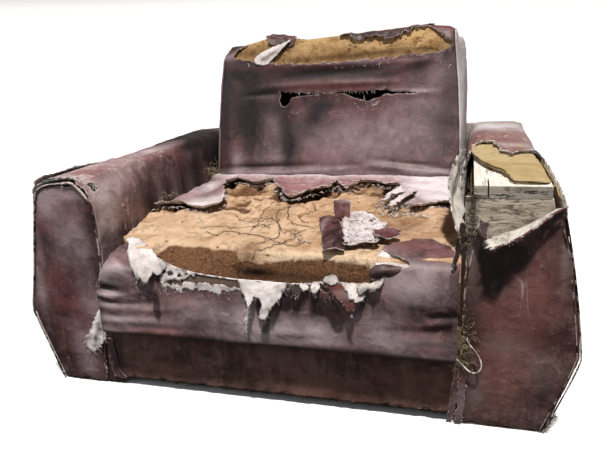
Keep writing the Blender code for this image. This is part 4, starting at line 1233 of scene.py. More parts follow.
rearPanel = metres({
    "seed": 33, "cell": 8, "held": "stretched",
    "outline": [(-582, 4, 2), (582, 4, 1), (635, 188, 1), (606, 350, 1), (578, 529, 1), (408, 531, 0),
        (400, 545, 1), (379, 798, 4), (200, 804, 5), (-100, 801, 5), (-382, 786, 1), (-405, 545, 0),
        (-412, 530, 1), (-564, 518, 1), (-606, 350, 1), (-635, 188, 1)],
    "folds": [(-380, 560, -200, 450, 20, -2), (380, 560, 180, 440, 20, -2), (-100, 770, -50, 350, 40, -1.8),
        (150, 770, 120, 400, 40, -1.5), (-500, 100, 100, 160, 30, -2), (-620, 200, -400, 240, 12, -2),
        (620, 200, 400, 250, 12, -2)],
    "rumples": [(140, 1.4, 101, 1), (40, 0.6, 102, 1)],
    "pale": [(-200, 300, 250, 120, 0.5), (250, 650, 120, 100, 0.5), (450, 300, 100, 150, 0.4)],
    "worn": [(0, 720, 300, 50, 0.6), (-450, 150, 120, 80, 0.5), (500, 480, 100, 50, 0.7)],
    "dark": [(0, 20, 700, 30, 0.5)],
})
rearMade = cloth("rearPanel", rearPanel, plane((0, 0.4528, 0), (1, 0, 0), (0, 0, 1), (0, 1, 0)), vinyl,
                 canvasGrubby, "vinyl", ["rear_cover"])
print("back covered")


# What is left of the seat's cover at the rear, curled up off the foam
def onSeat(u, v, height):
    tuck = np.clip((np.asarray(v) - 0.17) / 0.09, 0, 1)
    return np.stack([u, v, np.maximum(seatTop + 0.003 + 0.01 * tuck * tuck + height,
                                      seatFoamTop(u, v)[0] + 0.0024)], axis=1)


seatRemnant = metres({
    "seed": 35, "cell": 4.2, "held": "laid", "curl": (18, 20), "ragged": 1.5,
    "outline": [(-408, 262, 0), (-408, -150, 3), (-372, -128, 3), (-340, -120, 2), (-292, -160, 2),
        (-246, -168, 3), (-222, -120, 3), (-236, -60, 2), (-280, 30, 3), (-315, 130, 4), (-290, 176, 4),
        (-240, 150, 5), (-205, 120, 5), (-190, 165, 4), (-160, 155, 4), (-146, 110, 4), (-120, 60, 3),
        (-92, 20, 3), (-55, -35, 4), (-30, -5, 5), (-4, 60, 5), (30, 78, 6), (40, 140, 5), (60, 110, 6),
        (92, 60, 5), (100, 136, 5), (130, 172, 4), (168, 152, 5), (190, 120, 5), (205, 142, 4),
        (236, 100, 3), (226, 30, 3), (205, -70, 2), (217, -76, 2), (243, 10, 2), (262, 30, 2),
        (244, -50, 2), (228, -128, 2), (240, -134, 2), (262, -50, 2), (283, 20, 3), (292, -30, 3),
        (281, -108, 3), (312, -92, 4), (349, -70, 4), (385, -78, 2), (408, -60, 0), (408, 262, 0)],
    "folds": [(-330, -100, -240, -100, 20, 10), (-80, 80, -30, 30, 20, 8), (-390, 235, 390, 235, 14, 7),
        (220, 50, 230, -100, 10, 6), (330, 0, 360, 150, 30, 4), (-380, 0, -360, 200, 20, 8)],
    "rumples": [(50, 3, 111, 1), (18, 1.6, 112, 1)],
    "pale": [(350, 100, 100, 160, 1), (340, 180, 120, 60, 1), (-280, -80, 70, 60, 1),
        (0, 245, 500, 16, 0.8), (230, -30, 30, 120, 1), (-360, 100, 50, 100, 0.6)],
    "worn": [(-50, 100, 100, 70, 1), (130, 200, 60, 30, 0.8), (-150, 200, 80, 30, 0.6)],
    "dark": [(-330, 20, 30, 50, 0.35), (0, 262, 500, 6, 0.6)],
})
remnantMade = cloth("seatRemnant", seatRemnant, onSeat, liningVinyl, canvas, "faded_vinyl",
                    ["seat_rear_strip"])

# loose scrap of the cover, lying face down with one end stood up
scrapUnder = metres({
    "seed": 37, "cell": 3.5, "held": "laid", "curl": (10, 6),
    "outline": [(130, -180, 2), (170, -165, 3), (205, -180, 4), (240, -250, 4), (246, -310, 4),
        (240, -385, 3), (176, -408, 2), (150, -300, 2)],
    "folds": [(140, -200, 180, -380, 10, 8), (200, -220, 210, -340, 14, 4)],
    "rumples": [(25, 4, 115, 1), (10, 1.5, 116, 1)],
})
scrapUnderMade = cloth("scrapUnder", scrapUnder, above(onSeat, 0.005), scrapCanvas, vinyl, "canvas_backing",
                       ["seat_cover_scrap"])
scrapStrip = metres({
    "seed": 38, "cell": 4, "held": "folded",
    "outline": [(72, -208, 1), (122, -200, 1), (150, -300, 1), (182, -430, 1), (140, -444, 1),
        (104, -310, 1)],
    "folds": [(98, -210, 160, -435, 16, 14), (122, -205, 178, -430, 6, -4)], "rumples": [(30, 2, 117, 1)],
    "worn": [(110, -280, 40, 80, 0.5)], "pale": [(100, -300, 10, 80, 0.8)],
    # soot: dark lines beside the strip's fold, painted shade
    "soot": [(126, -260, 4, 50, 1), (142, -330, 4, 50, 1), (158, -400, 4, 40, 1)],
})
cloth("scrapStrip", scrapStrip, above(onSeat, 0.008), vinyl, canvas, "vinyl", ())
scrapLobe = metres({
    "seed": 39, "cell": 3.5, "held": "laid", "curl": (12, 6),
    "outline": [(224, -318, 2), (250, -300, 2), (280, -312, 2), (286, -345, 2), (262, -366, 2),
        (232, -356, 2)],
    "rumples": [(20, 4, 118, 1)], "worn": [(240, -330, 40, 50, 0.5)],
})
cloth("scrapLobe", scrapLobe, above(onSeat, 0.01), vinyl, canvas, "vinyl", ())
scrapTab = metres({
    "seed": 40, "cell": 3.5, "held": "folded",
    "outline": [(-17, 0, 1), (20, 0, 1), (22, 40, 1), (10, 46, 1), (-20, 42, 1)],
    "folds": [(0, 0, 2, 45, 6, 4)], "rumples": [(15, 2, 119, 1)], "worn": [(0, 20, 30, 30, 0.6)],
    "pale": [(10, 42, 20, 6, 0.8)],
})
cloth("scrapTab", scrapTab, plane((0.128, -0.205, seatTop + 0.01), (0.98, 0.1, 0.0), (-0.05, 0.3, 0.95),
                                  (0.05, -0.95, 0.3)), vinyl, canvas, "vinyl", ())
print("seat remnants laid")


def hung(tops, drop, reach, base=0.5):
    # cloth hinged along a line (u, v of its top) that swings out from the band as it falls; all in mm
    tops, drop, reach, base = mm(tops), mm(drop), mm(reach), mm(base)

    def place(u, v, height):
        fall = np.clip((np.interp(u, *tops) - np.asarray(v)) / drop, 0, 1)
        return onBand(u, v, np.asarray(height) + base + np.interp(u, *reach) * fall ** 1.25)
    return place


def torn(made, name, count, reach, finish=whiteThread, thickness=0.0005, **how):
    # threads along a piece's torn edges, going with that piece
    thread = strands(name, frays(made, count, reach, **how), thickness, finish)
    thread.parent = made[0]
    return thread


def fibres(made, name, patches, finish=whiteThread, thickness=0.0005, seed=6):
    # loose threads on a piece: (u, v, half width, half height, length) in mm, how many, heading, spread
    rng = np.random.RandomState(seed)
    runs = []
    for *sizes, count, heading, spread in patches:
        u, v, wide, high, length = mm(sizes)
        for _ in range(count):
            turn = heading + rng.normal(0, spread) + rng.normal(0, 0.5) * np.linspace(0, 1, 7)
            step = length * rng.uniform(0.3, 1.2) / 7
            across = u + rng.uniform(-wide, wide) + np.cumsum(np.cos(turn)) * step
            up = v + rng.uniform(-high, high) + np.cumsum(np.sin(turn)) * step
            runs.append(made[2](across, up, 0.0009 + 0.002 * rng.rand() * np.sin(np.linspace(0, math.pi, 7))))
    thread = strands(name, runs, thickness, finish)
    thread.parent = made[0]
    return thread


# Rags of the seat cover that hang over its front
whiteRag = metres({
    "seed": 41, "cell": 3.5, "held": "draped", "ragged": 1.4,
    "outline": [(-345, 424, 2), (-328, 428, 2), (-296, 410, 1), (-262, 388, 1), (-245, 374, 1),
        (-234, 362, 2), (-216, 352, 3), (-222, 338, 4), (-234, 328, 4), (-245, 336, 4), (-252, 324, 4),
        (-264, 314, 4), (-271, 324, 3), (-284, 300, 4), (-286, 320, 2), (-300, 345, 2), (-314, 372, 2),
        (-328, 404, 2)],
    "folds": [(-330, 400, -270, 325, 8, 3), (-280, 385, -245, 330, 10, -2)],
    "rumples": [(30, 3, 131, 1), (10, 1.4, 132, 1)],
})
whiteRagMade = cloth("whiteRag", whiteRag, hung(([-360, -300, -235, -200], [428, 410, 366, 356]), 60,
                                                ([-360, -310, -268, -240, -222], [3, 6, 20, 18, 10]), 1.5),
                     canvas, vinyl, "canvas_backing", ())
torn(whiteRagMade, "whiteRagThreads", 60, 0.006, sag=0.6, seed=3)
lace = metres({
    "seed": 42, "cell": 2.6, "held": "stretched", "thick": 0.9,
    "outline": [(-236, 362, 1), (-191, 344, 1), (-146, 335, 4), (-152, 322, 6), (-168, 327, 6),
        (-182, 316, 6), (-205, 318, 6), (-228, 314, 5), (-232, 340, 3)],
    "holes": [[(-205, 340, 2), (-199, 330, 2), (-208, 326, 2), (-213, 335, 2)], [(-187, 334, 2),
        (-178, 326, 2), (-190, 324, 2)], [(-222, 344, 2), (-216, 336, 2), (-224, 330, 2)], [(-172, 336, 2),
        (-162, 333, 2), (-170, 330, 2)]],
    "rumples": [(12, 1.4, 133, 1)],
})
laceMade = cloth("seatLace", lace, above(onBand, 0.0014), canvas, canvas, "canvas_backing", ())
torn(laceMade, "laceThreads", 60, 0.006, seed=4, spread=1.6)
margin = metres({
    "seed": 43, "cell": 3, "held": "stretched", "thick": 0.9,
    "outline": [(-236, 314, 3), (-205, 306, 4), (-176, 312, 4), (-140, 314, 3), (-100, 313, 3),
        (-46, 308, 3), (-44, 300, 3), (-78, 297, 5), (-96, 292, 5), (-118, 298, 5), (-140, 294, 5),
        (-168, 300, 4), (-180, 290, 5), (-198, 296, 5), (-222, 296, 4)],
    "rumples": [(12, 1, 134, 1)],
})
marginMade = cloth("tornMargin", margin, above(onBand, 0.0012), canvas, canvas, "canvas_backing", ())
torn(marginMade, "marginThreads", 60, 0.0045, seed=5, spread=1.2, sag=0.4)

hangingRag = metres({
    "seed": 44, "cell": 3, "held": "hung", "ragged": 1.3,
    "outline": [(-48, 329, 0), (62, 326, 1), (60, 308, 3), (44, 290, 3), (34, 272, 3), (20, 250, 3),
        (6, 246, 3), (6, 264, 3), (12, 280, 2), (2, 294, 2), (-10, 296, 2), (-18, 268, 3), (-22, 235, 3),
        (-28, 200, 2), (-34, 204, 3), (-33, 240, 3), (-26, 270, 3), (-28, 290, 2), (-42, 310, 2)],
    "folds": [(-35, 322, -15, 280, 6, -3), (50, 320, 20, 280, 10, 3)],
    "rumples": [(25, 2.6, 135, 1), (9, 1.5, 136, 1)],
})
hangingRagMade = cloth("hangingRag", hangingRag, hung(([-50, 70], [328, 326]), 50,
                                                      ([-50, -20, 20, 60], [12, 19, 22, 20])), canvas,
                       vinyl, "canvas_backing", ())
torn(hangingRagMade, "hangingRagThreads", 90, 0.007, sag=0.9, seed=6, spread=1.0)
smallRags = [
    ("middleRag", 45, [(64, 325, 1), (100, 326, 1), (96, 310, 3), (86, 300, 3), (74, 310, 3)],
     ([60, 100], [20, 20]), 24, shadedVinyl, canvas),
    ("whiteTuft", 46, [(94, 330, 2), (106, 330, 2), (112, 318, 3), (104, 308, 3), (96, 318, 3)],
     ([90, 120], [12, 16]), 20, canvas, canvas),
    ("middleTuft", 47, [(116, 329, 2), (130, 332, 2), (134, 316, 3), (127, 304, 3), (120, 314, 3)],
     ([110, 140], [12, 16]), 22, canvas, canvas),
    ("hemTuft", 48, [(138, 334, 2), (150, 345, 2), (166, 346, 2), (172, 334, 2), (156, 328, 2)],
     ([130, 180], [4, 4]), 20, canvas, canvas),
    ("redRag", 49, [(134, 330, 1), (178, 333, 1), (192, 318, 2), (208, 304, 2), (208, 286, 2),
                    (204, 262, 2), (196, 284, 2), (180, 300, 2), (156, 314, 2)],
     ([130, 170, 210], [16, 20, 22]), 50, weltRed, canvas),
    ("cornerRag", 50, [(172, 334, 1), (230, 332, 2), (229, 312, 3), (214, 300, 3), (200, 304, 3),
                       (186, 318, 3)], ([170, 210, 230], [20, 21, 14]), 36, canvas, vinyl),
    ("rightRag", 51, [(212, 336, 1), (240, 336, 1), (266, 350, 1), (262, 336, 2), (250, 326, 3),
                      (232, 322, 2), (220, 312, 2)], ([200, 270], [12, 16]), 20, canvasGrubby, vinyl),
]
for name, seed, outline, reach, drop, front, back in smallRags:
    top = max(corner[1] for corner in outline)
    rag = metres({
        "seed": seed, "cell": 2.8, "held": "draped", "outline": outline, "ragged": 1.4,
        "rumples": [(20, 2.2, seed + 90, 1), (8, 1, seed + 91, 1)],
        "pale": [(190, 310, 30, 10, 0.5)], "worn": [(170, 320, 20, 20, 0.6)],
    })
    ragMade = cloth(name, rag, hung(([-1000, 1000], [top, top]), drop, reach, 1), front, back,
                    "canvas_backing", ())
    torn(ragMade, name + "Threads", 14, 0.005, seed=seed, sag=0.4)

foldLining = metres({
    "seed": 52, "cell": 3.5, "held": "stretched", "thick": 1.2,
    "outline": [(236, 340, 1), (340, 350, 0), (345, 390, 0), (306, 404, 0), (280, 420, 1), (250, 424, 1),
        (246, 380, 2)],
    "rumples": [(20, 1, 141, 1)],
})
cloth("foldLining", foldLining, above(onBand, -0.0022), canvas, canvas, "canvas_backing", ())
darkCurl = metres({
    "seed": 53, "cell": 2.8, "held": "folded",
    "outline": [(232, 352, 1), (244, 372, 1), (268, 374, 1), (304, 371, 1), (292, 358, 1), (272, 346, 1),
        (248, 344, 1)],
    "folds": [(238, 358, 296, 366, 9, 11)], "rumples": [(12, 2, 143, 1)], "dark": [(260, 360, 30, 20, 0.5)],
    "pale": [(262, 366, 6, 4, 0.8)],
})
cloth("darkCurl", darkCurl, above(onBand, 0.001), vinyl, canvas, "vinyl", ())
torn(band, "bandThreads", 121, 0.0045, seed=8, sag=0.2)
torn(remnantMade, "remnantThreads", 400, 0.015, seed=9, lift=0.007, spread=0.9, sag=0.35, thickness=0.0012)
torn(backMade, "backThreads", 143, 0.0065, seed=10, lift=0.003, spread=1.2)
torn(tornRidgeMade, "ridgeThreads", 66, 0.007, seed=11, lift=0.006)
torn(ridgeCurlMade, "ridgeCurlThreads", 28, 0.005, seed=12, lift=0.005)
torn(tongueMade, "tongueThreads", 28, 0.005, seed=13, lift=0.005)
torn(scrapUnderMade, "scrapThreads", 38, 0.006, seed=14, lift=0.004)
torn(apronMade, "apronThreads", 61, 0.006, seed=15, sag=0.3, finish=darkThread)
torn(leftArmMade, "leftArmThreads", 94, 0.007, seed=16, lift=0.004, zone=(0.2, 0.5, -0.5, -0.1))
down, level = -math.pi / 2, 0.0
fibres(backMade, "backStitches", [
    (60, 743, 200, 3, 18, 80, down, 0.15), (-240, 754, 70, 4, 14, 22, down, 0.2),
    (0, 655, 150, 1, 11, 50, down, 0.4), (110, 600, 20, 12, 30, 12, 1.3, 0.5),
    (100, 605, 30, 10, 22, 7, 2.6, 0.4), (-130, 585, 20, 8, 10, 8, 0.4, 0.8),
    (-200, 665, 20, 6, 10, 8, 0.8, 0.8), (330, 740, 30, 20, 14, 8, down, 0.8),
], thickness=0.0011)
fibres(leftArmMade, "leftArmFibres", [
    (310, -385, 60, 12, 22, 60, level, 0.9), (370, -250, 25, 90, 16, 70, 1.5, 0.9),
    (250, -375, 20, 20, 20, 26, 0.3, 0.9), (290, -180, 30, 80, 14, 20, 1.5, 0.9),
    (155, -292, 50, 2, 30, 9, 2.9, 0.1),
], thickness=0.0011, seed=7)
fibres(band, "bandFibres", [
    (-100, 292, 140, 4, 16, 34, down, 0.5), (-220, 300, 12, 8, 26, 12, down, 0.3),
    (180, 305, 60, 6, 16, 14, down, 0.4),
], seed=8)
fibres(remnantMade, "remnantFibres", [
    (290, -20, 75, 35, 55, 90, down - 0.2, 0.3), (350, -60, 40, 20, 20, 34, down, 0.7),
    (140, 130, 90, 20, 20, 24, down, 0.5), (-100, 60, 90, 20, 20, 22, down, 0.5),
], thickness=0.0008, seed=9)
torn(flapMade, "flapEdgeThreads", 150, 0.009, seed=25, lift=0.003, spread=1.1, thickness=0.0009)
torn(leftFacingMade, "leftFacingThreads", 66, 0.0035, seed=17, zone=(-0.58, -0.42, 0.46, 0.54))
torn(rearMade, "rearThreads", 44, 0.0045, seed=18, sag=0.2)
print("rags hung")


# Joint of the left arm and the seat: dark inside, a white rag caught in it
leftJoint = metres({
    "seed": 61, "cell": 6, "held": "hung", "thick": 1.2,
    "outline": [(-472, 3, 1), (-412.2, 4, 2), (-412.2, 300, 1), (-430, 300, 0)],
    "rumples": [(30, 0.8, 151, 1)],
})
cloth("leftJoint", leftJoint, inFront(-0.002), shadedVinyl, canvasGrubby, "vinyl", ())
caughtRag = metres({
    "seed": 62, "cell": 3.2, "held": "hung",
    "outline": [(-430, 222, 1), (-437, 214, 2), (-456, 178, 2), (-478, 145, 3), (-493, 126, 3),
        (-488, 96, 3), (-474, 88, 4), (-464, 102, 4), (-450, 100, 4), (-440, 118, 3), (-431, 124, 3),
        (-433, 160, 2)],
    "folds": [(-435, 205, -470, 110, 6, 6), (-450, 160, -440, 120, 6, -3)],
    "rumples": [(20, 2.4, 152, 1), (8, 1, 153, 1)],
})
caughtRagMade = cloth("caughtRag", caughtRag, inFront(0.006), canvas, canvasGrubby, "canvas_backing", ())
torn(caughtRagMade, "caughtRagThreads", 66, 0.01, sag=0.8, seed=19)
jointStrip = metres({
    "seed": 63, "cell": 3, "held": "hung", "thick": 1,
    "outline": [(-436, 130, 1), (-414, 130, 1), (-413, 80, 1), (-408, 40, 1), (-393, 22, 2), (-405, 18, 2),
        (-428, 20, 1), (-434, 60, 1)],
    "folds": [(-430, 120, -425, 30, 4, -3), (-418, 120, -408, 30, 4, 3)], "dark": [(-424, 70, 4, 50, 0.8)],
    "rumples": [(15, 1.5, 154, 1)],
})
cloth("jointStrip", jointStrip, inFront(0.002), vinyl, canvasGrubby, "canvas_backing", ())


# Right arm: cover torn back off its top, foam sheet, bleached plank, facing folded down off its board
rightArm = metres({
    "seed": 71, "cell": 5, "held": "stretched", "curl": (9, 9), "ragged": 1.5,
    "outline": [(0, -60, 3), (130, -70, 3), (225, -62, 3), (252, -63, 4), (270, -20, 3), (286, 18, 2),
        (314, 20, 3), (322, -40, 4), (329, -105, 4), (345, -152, 3), (362, -132, 3), (380, -116, 2),
        (405, -94, 2), (420, -110, 2), (427, -152, 2), (424, -240, 2), (430, -320, 2), (440, -400, 2),
        (452, -406, 0), (900, -406, 0), (900, 450, 0), (0, 450, 0)],
    "folds": [(300, 80, 400, 60, 10, 2), (280, 160, 420, 150, 12, 1.8), (290, 260, 420, 250, 14, -1.6),
        (550, -250, 680, 50, 35, 4), (500, 50, 660, 300, 35, -4), (470, -350, 600, -300, 20, 2)],
    "rumples": [(80, 1.6, 161, 1), (22, 0.8, 162, 2.4)],
    "pale": [(340, 360, 120, 90, 1), (460, 200, 50, 250, 0.6), (330, 0, 100, 30, 0.4)],
    "worn": [(340, 120, 100, 80, 0.9), (380, -60, 50, 40, 0.6)],
    "dark": [(800, 0, 100, 400, 0.4), (100, 200, 120, 250, 0.4), (300, -10, 30, 12, 0.6)],
})
rightArmMade = cloth("rightArmCover", rightArm, onRightArm, rightVinyl, canvas, "faded_vinyl",
                     ["arm_cover_right"])
shoulderFoam = metres({
    "seed": 85, "cell": 4, "held": "laid", "thick": 3,
    "outline": [(421, -90, 2), (425, -112, 2), (425, -160, 2), (422, -240, 2), (426, -320, 2),
        (430, -402, 1), (441, -402, 1), (436, -320, 3), (432, -240, 3), (434, -160, 3), (429, -98, 2)],
    "rumples": [(12, 1.6, 165, 1), (5, 0.8, 166, 1)],
    "dark": [(434, -200, 6, 50, 0.9), (438, -360, 6, 50, 0.9), (428, -280, 5, 40, 0.8),
        (427, -120, 5, 30, 0.6)],
})
cloth("shoulderFoam", shoulderFoam, above(onRightArm, 0.0026), armFoamFinish, armFoamFinish, "foam", ())
torn(rightArmMade, "rightArmThreads", 187, 0.0065, seed=20, lift=0.005, spread=1.2)

topFoam = metres({
    "seed": 72, "cell": 4.5, "held": "laid", "thick": 6.2,
    "outline": [(424, -78, 1), (433, -130, 1), (446, -186, 1), (469, -249, 1), (484, -272, 1),
        (491, -300, 1), (496, -342, 1), (502, -384, 1), (530, -391, 1), (562, -388, 1), (569, -366, 1),
        (569, -200, 1), (560, -90, 0), (540, 30, 0), (424, 30, 0)],
    "rumples": [(70, 0.8, 163, 1), (20, 0.3, 164, 1)],
    "dark": [(455, -220, 8, 20, 0.4), (530, -392, 30, 3, 0.6)],
})


def onPlank(u, v, height):
    # foam lies on the plank and rolls off its outer edge
    return np.stack([u, v, 0.5326 - 5.0 * np.maximum(u - 0.535, 0) ** 2 + height], axis=1)


topFoamMade = cloth("topFoam", topFoam, onPlank, armFoamFinish, armFoamFinish, "foam",
                    ["arm_top_foam_right"])
foamEdge = [(x, y, 0.531 - 5.0 * max(x - 0.535, 0) ** 2) for x, y in mm([
    (423.5, -78), (432.5, -130), (445.5, -187), (468.5, -250), (483.5, -273), (490.5, -301), (495.5, -343),
    (501.5, -385), (530, -392), (560, -389), (567, -366), (567, -330)])]
strands("topFoamEdge", [smoothPath(foamEdge, 4)], 0.0024, darkThread).parent = topFoamMade[0]
plankEnds = [(0.43, 0.4552, 0.5262, -0.33), (0.4576, 0.57, 0.5256, -0.33), (0.43, 0.545, 0.52, frameRear)]
for name, (inner, outer, top, end) in zip(("rightPlankInner", "rightPlank", "rightPlankRear"), plankEnds):
    slab(name, [(inner, 0.5012), (inner, top), (outer, top), (outer, 0.5012)],
         armFront + 0.0033 if end < 0 else -0.3299, end, greyWood, "weathered_wood",
         ["arm_top_board_right"] if end > 0 else [], 0.0012, sunWood)
# the right pad takes near-black foam: painted shade in the gap
slab("rightSidePad", mm([(418.5, 270), (418.5, 405), (422.5, 430), (423.7, 270)]), -0.3834, 0.43,
     stainedFoam, "foam", ["arm_side_pad_right"], 0.001)
slab("rightInnerPanel", mm([(424, 20), (424, 485), (428, 490), (428, 20)]), -0.3834, 0.4304, hardboard,
     "hardboard", ["arm_inner_panel_right"], 0.0008)

facingTop = [(436, 426), (454, 424), (476, 430), (493, 437), (518, 446), (536, 456), (558, 470), (574, 481),
        (596, 488)]
rightFacing = metres({
    "seed": 73, "cell": 5, "held": "stretched",
    "outline": [(583.5, 4, 1), (619, 108, 0), (638, 168, 0), (640, 194, 0), (628.5, 290, 0), (611, 390, 1),
        (598.5, 450, 1)]
        + [(x, z, 2) for x, z in reversed(facingTop)]
        + [(430, 420, 2), (423.5, 380, 1), (419.5, 300, 1), (418.5, 4, 1)],
    "folds": [(449, 126, 443, 6, 3.5, -3.5), (430, 130, 428, 6, 8, 2), (600, 400, 615, 240, 8, 2),
        (470, 220, 580, 200, 30, 2), (550, 400, 500, 280, 30, -2), (520, 100, 600, 80, 30, 1.5)],
    "rumples": [(90, 1.8, 171, 0.8), (30, 0.7, 172, 0.8), (12, 0.2, 173, 1)],
    "pale": [(430, 360, 10, 60, 0.5), (500, 200, 40, 30, 0.35), (440, 70, 20, 60, 0.35),
        (570, 150, 30, 40, 0.2), (600, 380, 10, 50, 0.4)],
    "worn": [(510, 240, 70, 80, 0.9), (560, 340, 40, 80, 0.8), (500, 120, 70, 80, 0.6)],
    # dark along the inner edge by the gap: painted shade; darker at the foot and outer corner
    "dark": [(580, 100, 40, 50, 0.45), (490, 10, 100, 12, 0.4), (430, 200, 18, 200, 0.6)],
    # soot: the fold's cast shadow, painted on the facing below it
    "soot": [(505, 385, 50, 45, 0.7), (472, 325, 22, 50, 0.7), (455, 400, 14, 40, 0.6)],
})
cloth("rightFacing", rightFacing, onFacing, rightFacingVinyl, canvas, "vinyl", ["arm_facing_right"])


def onRim(u, v, height):
    # v runs from the facing's torn top down the slack fold, which stands out most at its inner end
    out, drop = np.interp(u, *facingFold["out"]), np.interp(u, *facingFold["drop"])
    top = np.interp(u, *np.array(mm(facingTop)).T) + 0.002
    share = np.asarray(v) / (0.004 + np.hypot(out, drop))
    fall = np.clip(share, 0, 1)
    tuck = np.clip(share - 1, 0, 1)
    y = armFront - 0.003 - out * fall ** 0.9 + 0.004 * tuck - np.asarray(height) * 0.5
    z = top - drop * fall ** 1.3 - 0.01 * tuck + 0.003 * np.sin(math.pi * fall) + np.asarray(height) * 0.8
    return np.stack([u, y, z], axis=1)


facingFold = metres({
    "seed": 74, "cell": 3.2, "held": "folded", "ragged": 1.7,
    "out": ([445, 470, 500, 550, 600], [36, 44, 38, 20, 5]),
    "drop": ([445, 470, 500, 550, 600], [16, 20, 16, 8, 3]),
    "outline": [(466, 0, 2), (588, 0, 2), (590, 6, 2), (572, 14, 2), (550, 23, 2), (524, 31, 2),
        (500, 40, 3), (470, 45, 4), (456, 38, 5), (450, 24, 5), (456, 8, 4)],
    "folds": [(470, 12, 560, 8, 6, 3), (460, 30, 520, 26, 6, -2.5)],
    "rumples": [(20, 2.4, 174, 1.6), (7, 1.2, 175, 1)],
})
foldMade = cloth("facingFold", facingFold, onRim, foldCanvas, vinyl, "canvas_backing", ())
torn(foldMade, "foldThreads", 110, 0.007, seed=21, sag=0.4, spread=1.1)
rimSpots = np.linspace(0.462, 0.59, 30)
rimLine = onRim(rimSpots, np.interp(rimSpots, [0.462, 0.5, 0.55, 0.6], [0.045, 0.041, 0.024, 0.009]),
                np.full(30, 0.003))
strands("facingRim", [rimLine], 0.006, weltRed).parent = foldMade[0]
twist = metres({
    "seed": 75, "cell": 2.8, "held": "folded",
    "outline": [(434, 444, 3), (444, 462, 3), (460, 456, 2), (456, 440, 3), (462, 420, 4), (452, 412, 3),
        (442, 426, 2)],
    "folds": [(438, 450, 456, 418, 8, 14)], "rumples": [(14, 4, 176, 1)],
})
twistMade = cloth("facingTwist", twist, inFront(0.0065), vinyl, canvas, "vinyl", ())
torn(twistMade, "twistThreads", 33, 0.007, seed=22, sag=0.5)
beadLine("rightWelt", [(433.5, 400), (424, 350), (419, 300), (417.5, 230), (417, 150), (416.5, 6)], 2,
         weltRed, ["arm_welt_right_inner"])
beadLine("rightPiping", [(595, 470), (612, 390), (629.5, 290), (642, 194), (640.5, 167), (621.5, 107),
                         (585.5, 6)], 1.6, weltDull, ["arm_welt_right_outer"])
beadLine("rightPipingInner", [(590.5, 450), (606, 390), (622, 290), (634.5, 195), (632.5, 168), (614, 108),
                              (578, 6)], 1, weltDull)


# cover's inner side, come away and flopped towards the seat with its backing up
def onFlop(u, v, height):
    lean = np.interp(u, [-0.38, -0.3, -0.05], [0.34, 0.3, 0.05])
    rise = 0.395 + np.interp(u, [-0.38, -0.3, -0.15, -0.05], [0.01, 0.02, 0.01, 0.0])
    swell = np.sin(math.pi * np.clip(v / 0.14, 0, 1))
    x = 0.4125 - np.asarray(v) * np.sin(lean) - 0.01 * swell + height * np.cos(lean)
    return np.stack([x, u, rise + v * np.cos(lean) + height * np.sin(lean)], axis=1)


innerFlop = metres({
    "seed": 76, "cell": 4.2, "held": "draped", "ragged": 1.6,
    "outline": [(-46, 0, 0), (-46, 140, 2), (-90, 134, 3), (-150, 122, 4), (-230, 110, 3), (-300, 86, 3),
        (-350, 56, 4), (-378, 12, 4), (-378, 0, 0)],
    "folds": [(-80, 110, -320, 70, 14, 5), (-100, 60, -340, 30, 12, -4)],
    "rumples": [(40, 3, 177, 1), (14, 1.4, 178, 1)],
})
flopMade = cloth("innerFlop", innerFlop, onFlop, creamCanvas, creamCanvas, "canvas_backing", ())
torn(flopMade, "flopThreads", 110, 0.011, seed=23, lift=0.005, spread=1.2)

ribbons = [
    ("gapRibbon", 81, [(406, 452, 3), (418, 450, 3), (421.5, 380, 1), (417, 300, 1), (416, 225, 3),
                       (408, 216, 3), (406, 300, 1), (408.5, 380, 1)], shadedVinyl, -1.2),
    ("looseRibbon", 82, [(402, 436, 2), (409, 440, 2), (406, 395, 1), (395, 372, 1)], shadedVinyl, 46),
    ("stripInner", 83, [(404.5, 135, 3), (413, 135, 3), (411, 60, 1), (400, 8, 2), (390, 13, 2),
                        (396, 60, 1)], vinyl, 4),
    ("stripOuter", 84, [(412, 140, 3), (429, 140, 3), (427, 60, 1), (421, 9, 3), (405, 10, 3),
                        (411.5, 60, 1)], vinyl, 6),
]
for name, seed, outline, finish, out in ribbons:
    ribbon = metres({
        "seed": seed, "cell": 3, "held": "hung", "thick": 1.2, "outline": outline,
        "rumples": [(25, 1.2, seed + 90, 1)], "pale": [(420, 50, 20, 60, 0.5)],
    })
    ribbonMade = cloth(name, ribbon, inFront(mm(out)), finish, canvasGrubby, "vinyl", ())
    torn(ribbonMade, name + "Threads", 16, 0.005, seed=seed, sag=0.6)
print("right arm covered")


def wisp(start, heading, length, curl, rng, steps=9):
    # one springy fibre
    spots, way = [np.array(start, float)], np.array(heading, float)
    for _ in range(steps):
        way = way + rng.normal(0, curl, 3)
        way = way / np.linalg.norm(way)
        spots.append(spots[-1] + way * length / steps)
    return spots


def tuft(name, spots, count, length, curl, thickness, finish, spread, seed, floor=None):
    # a knot of fibres about a line of spots, none of them further back than floor
    rng = np.random.RandomState(seed)
    spots = np.array(spots, float)
    runs = []
    for _ in range(count):
        k = rng.randint(len(spots) - 1)
        base = spots[k] + rng.rand() * (spots[k + 1] - spots[k]) + rng.normal(0, 1, 3) * spread
        run = np.array(wisp(base, rng.normal(0, 1, 3), length * rng.uniform(0.5, 1.4), curl, rng))
        if floor is not None:
            run[:, 1] = np.minimum(run[:, 1], floor)
        runs.append(run)
    return strands(name, runs, thickness, finish)


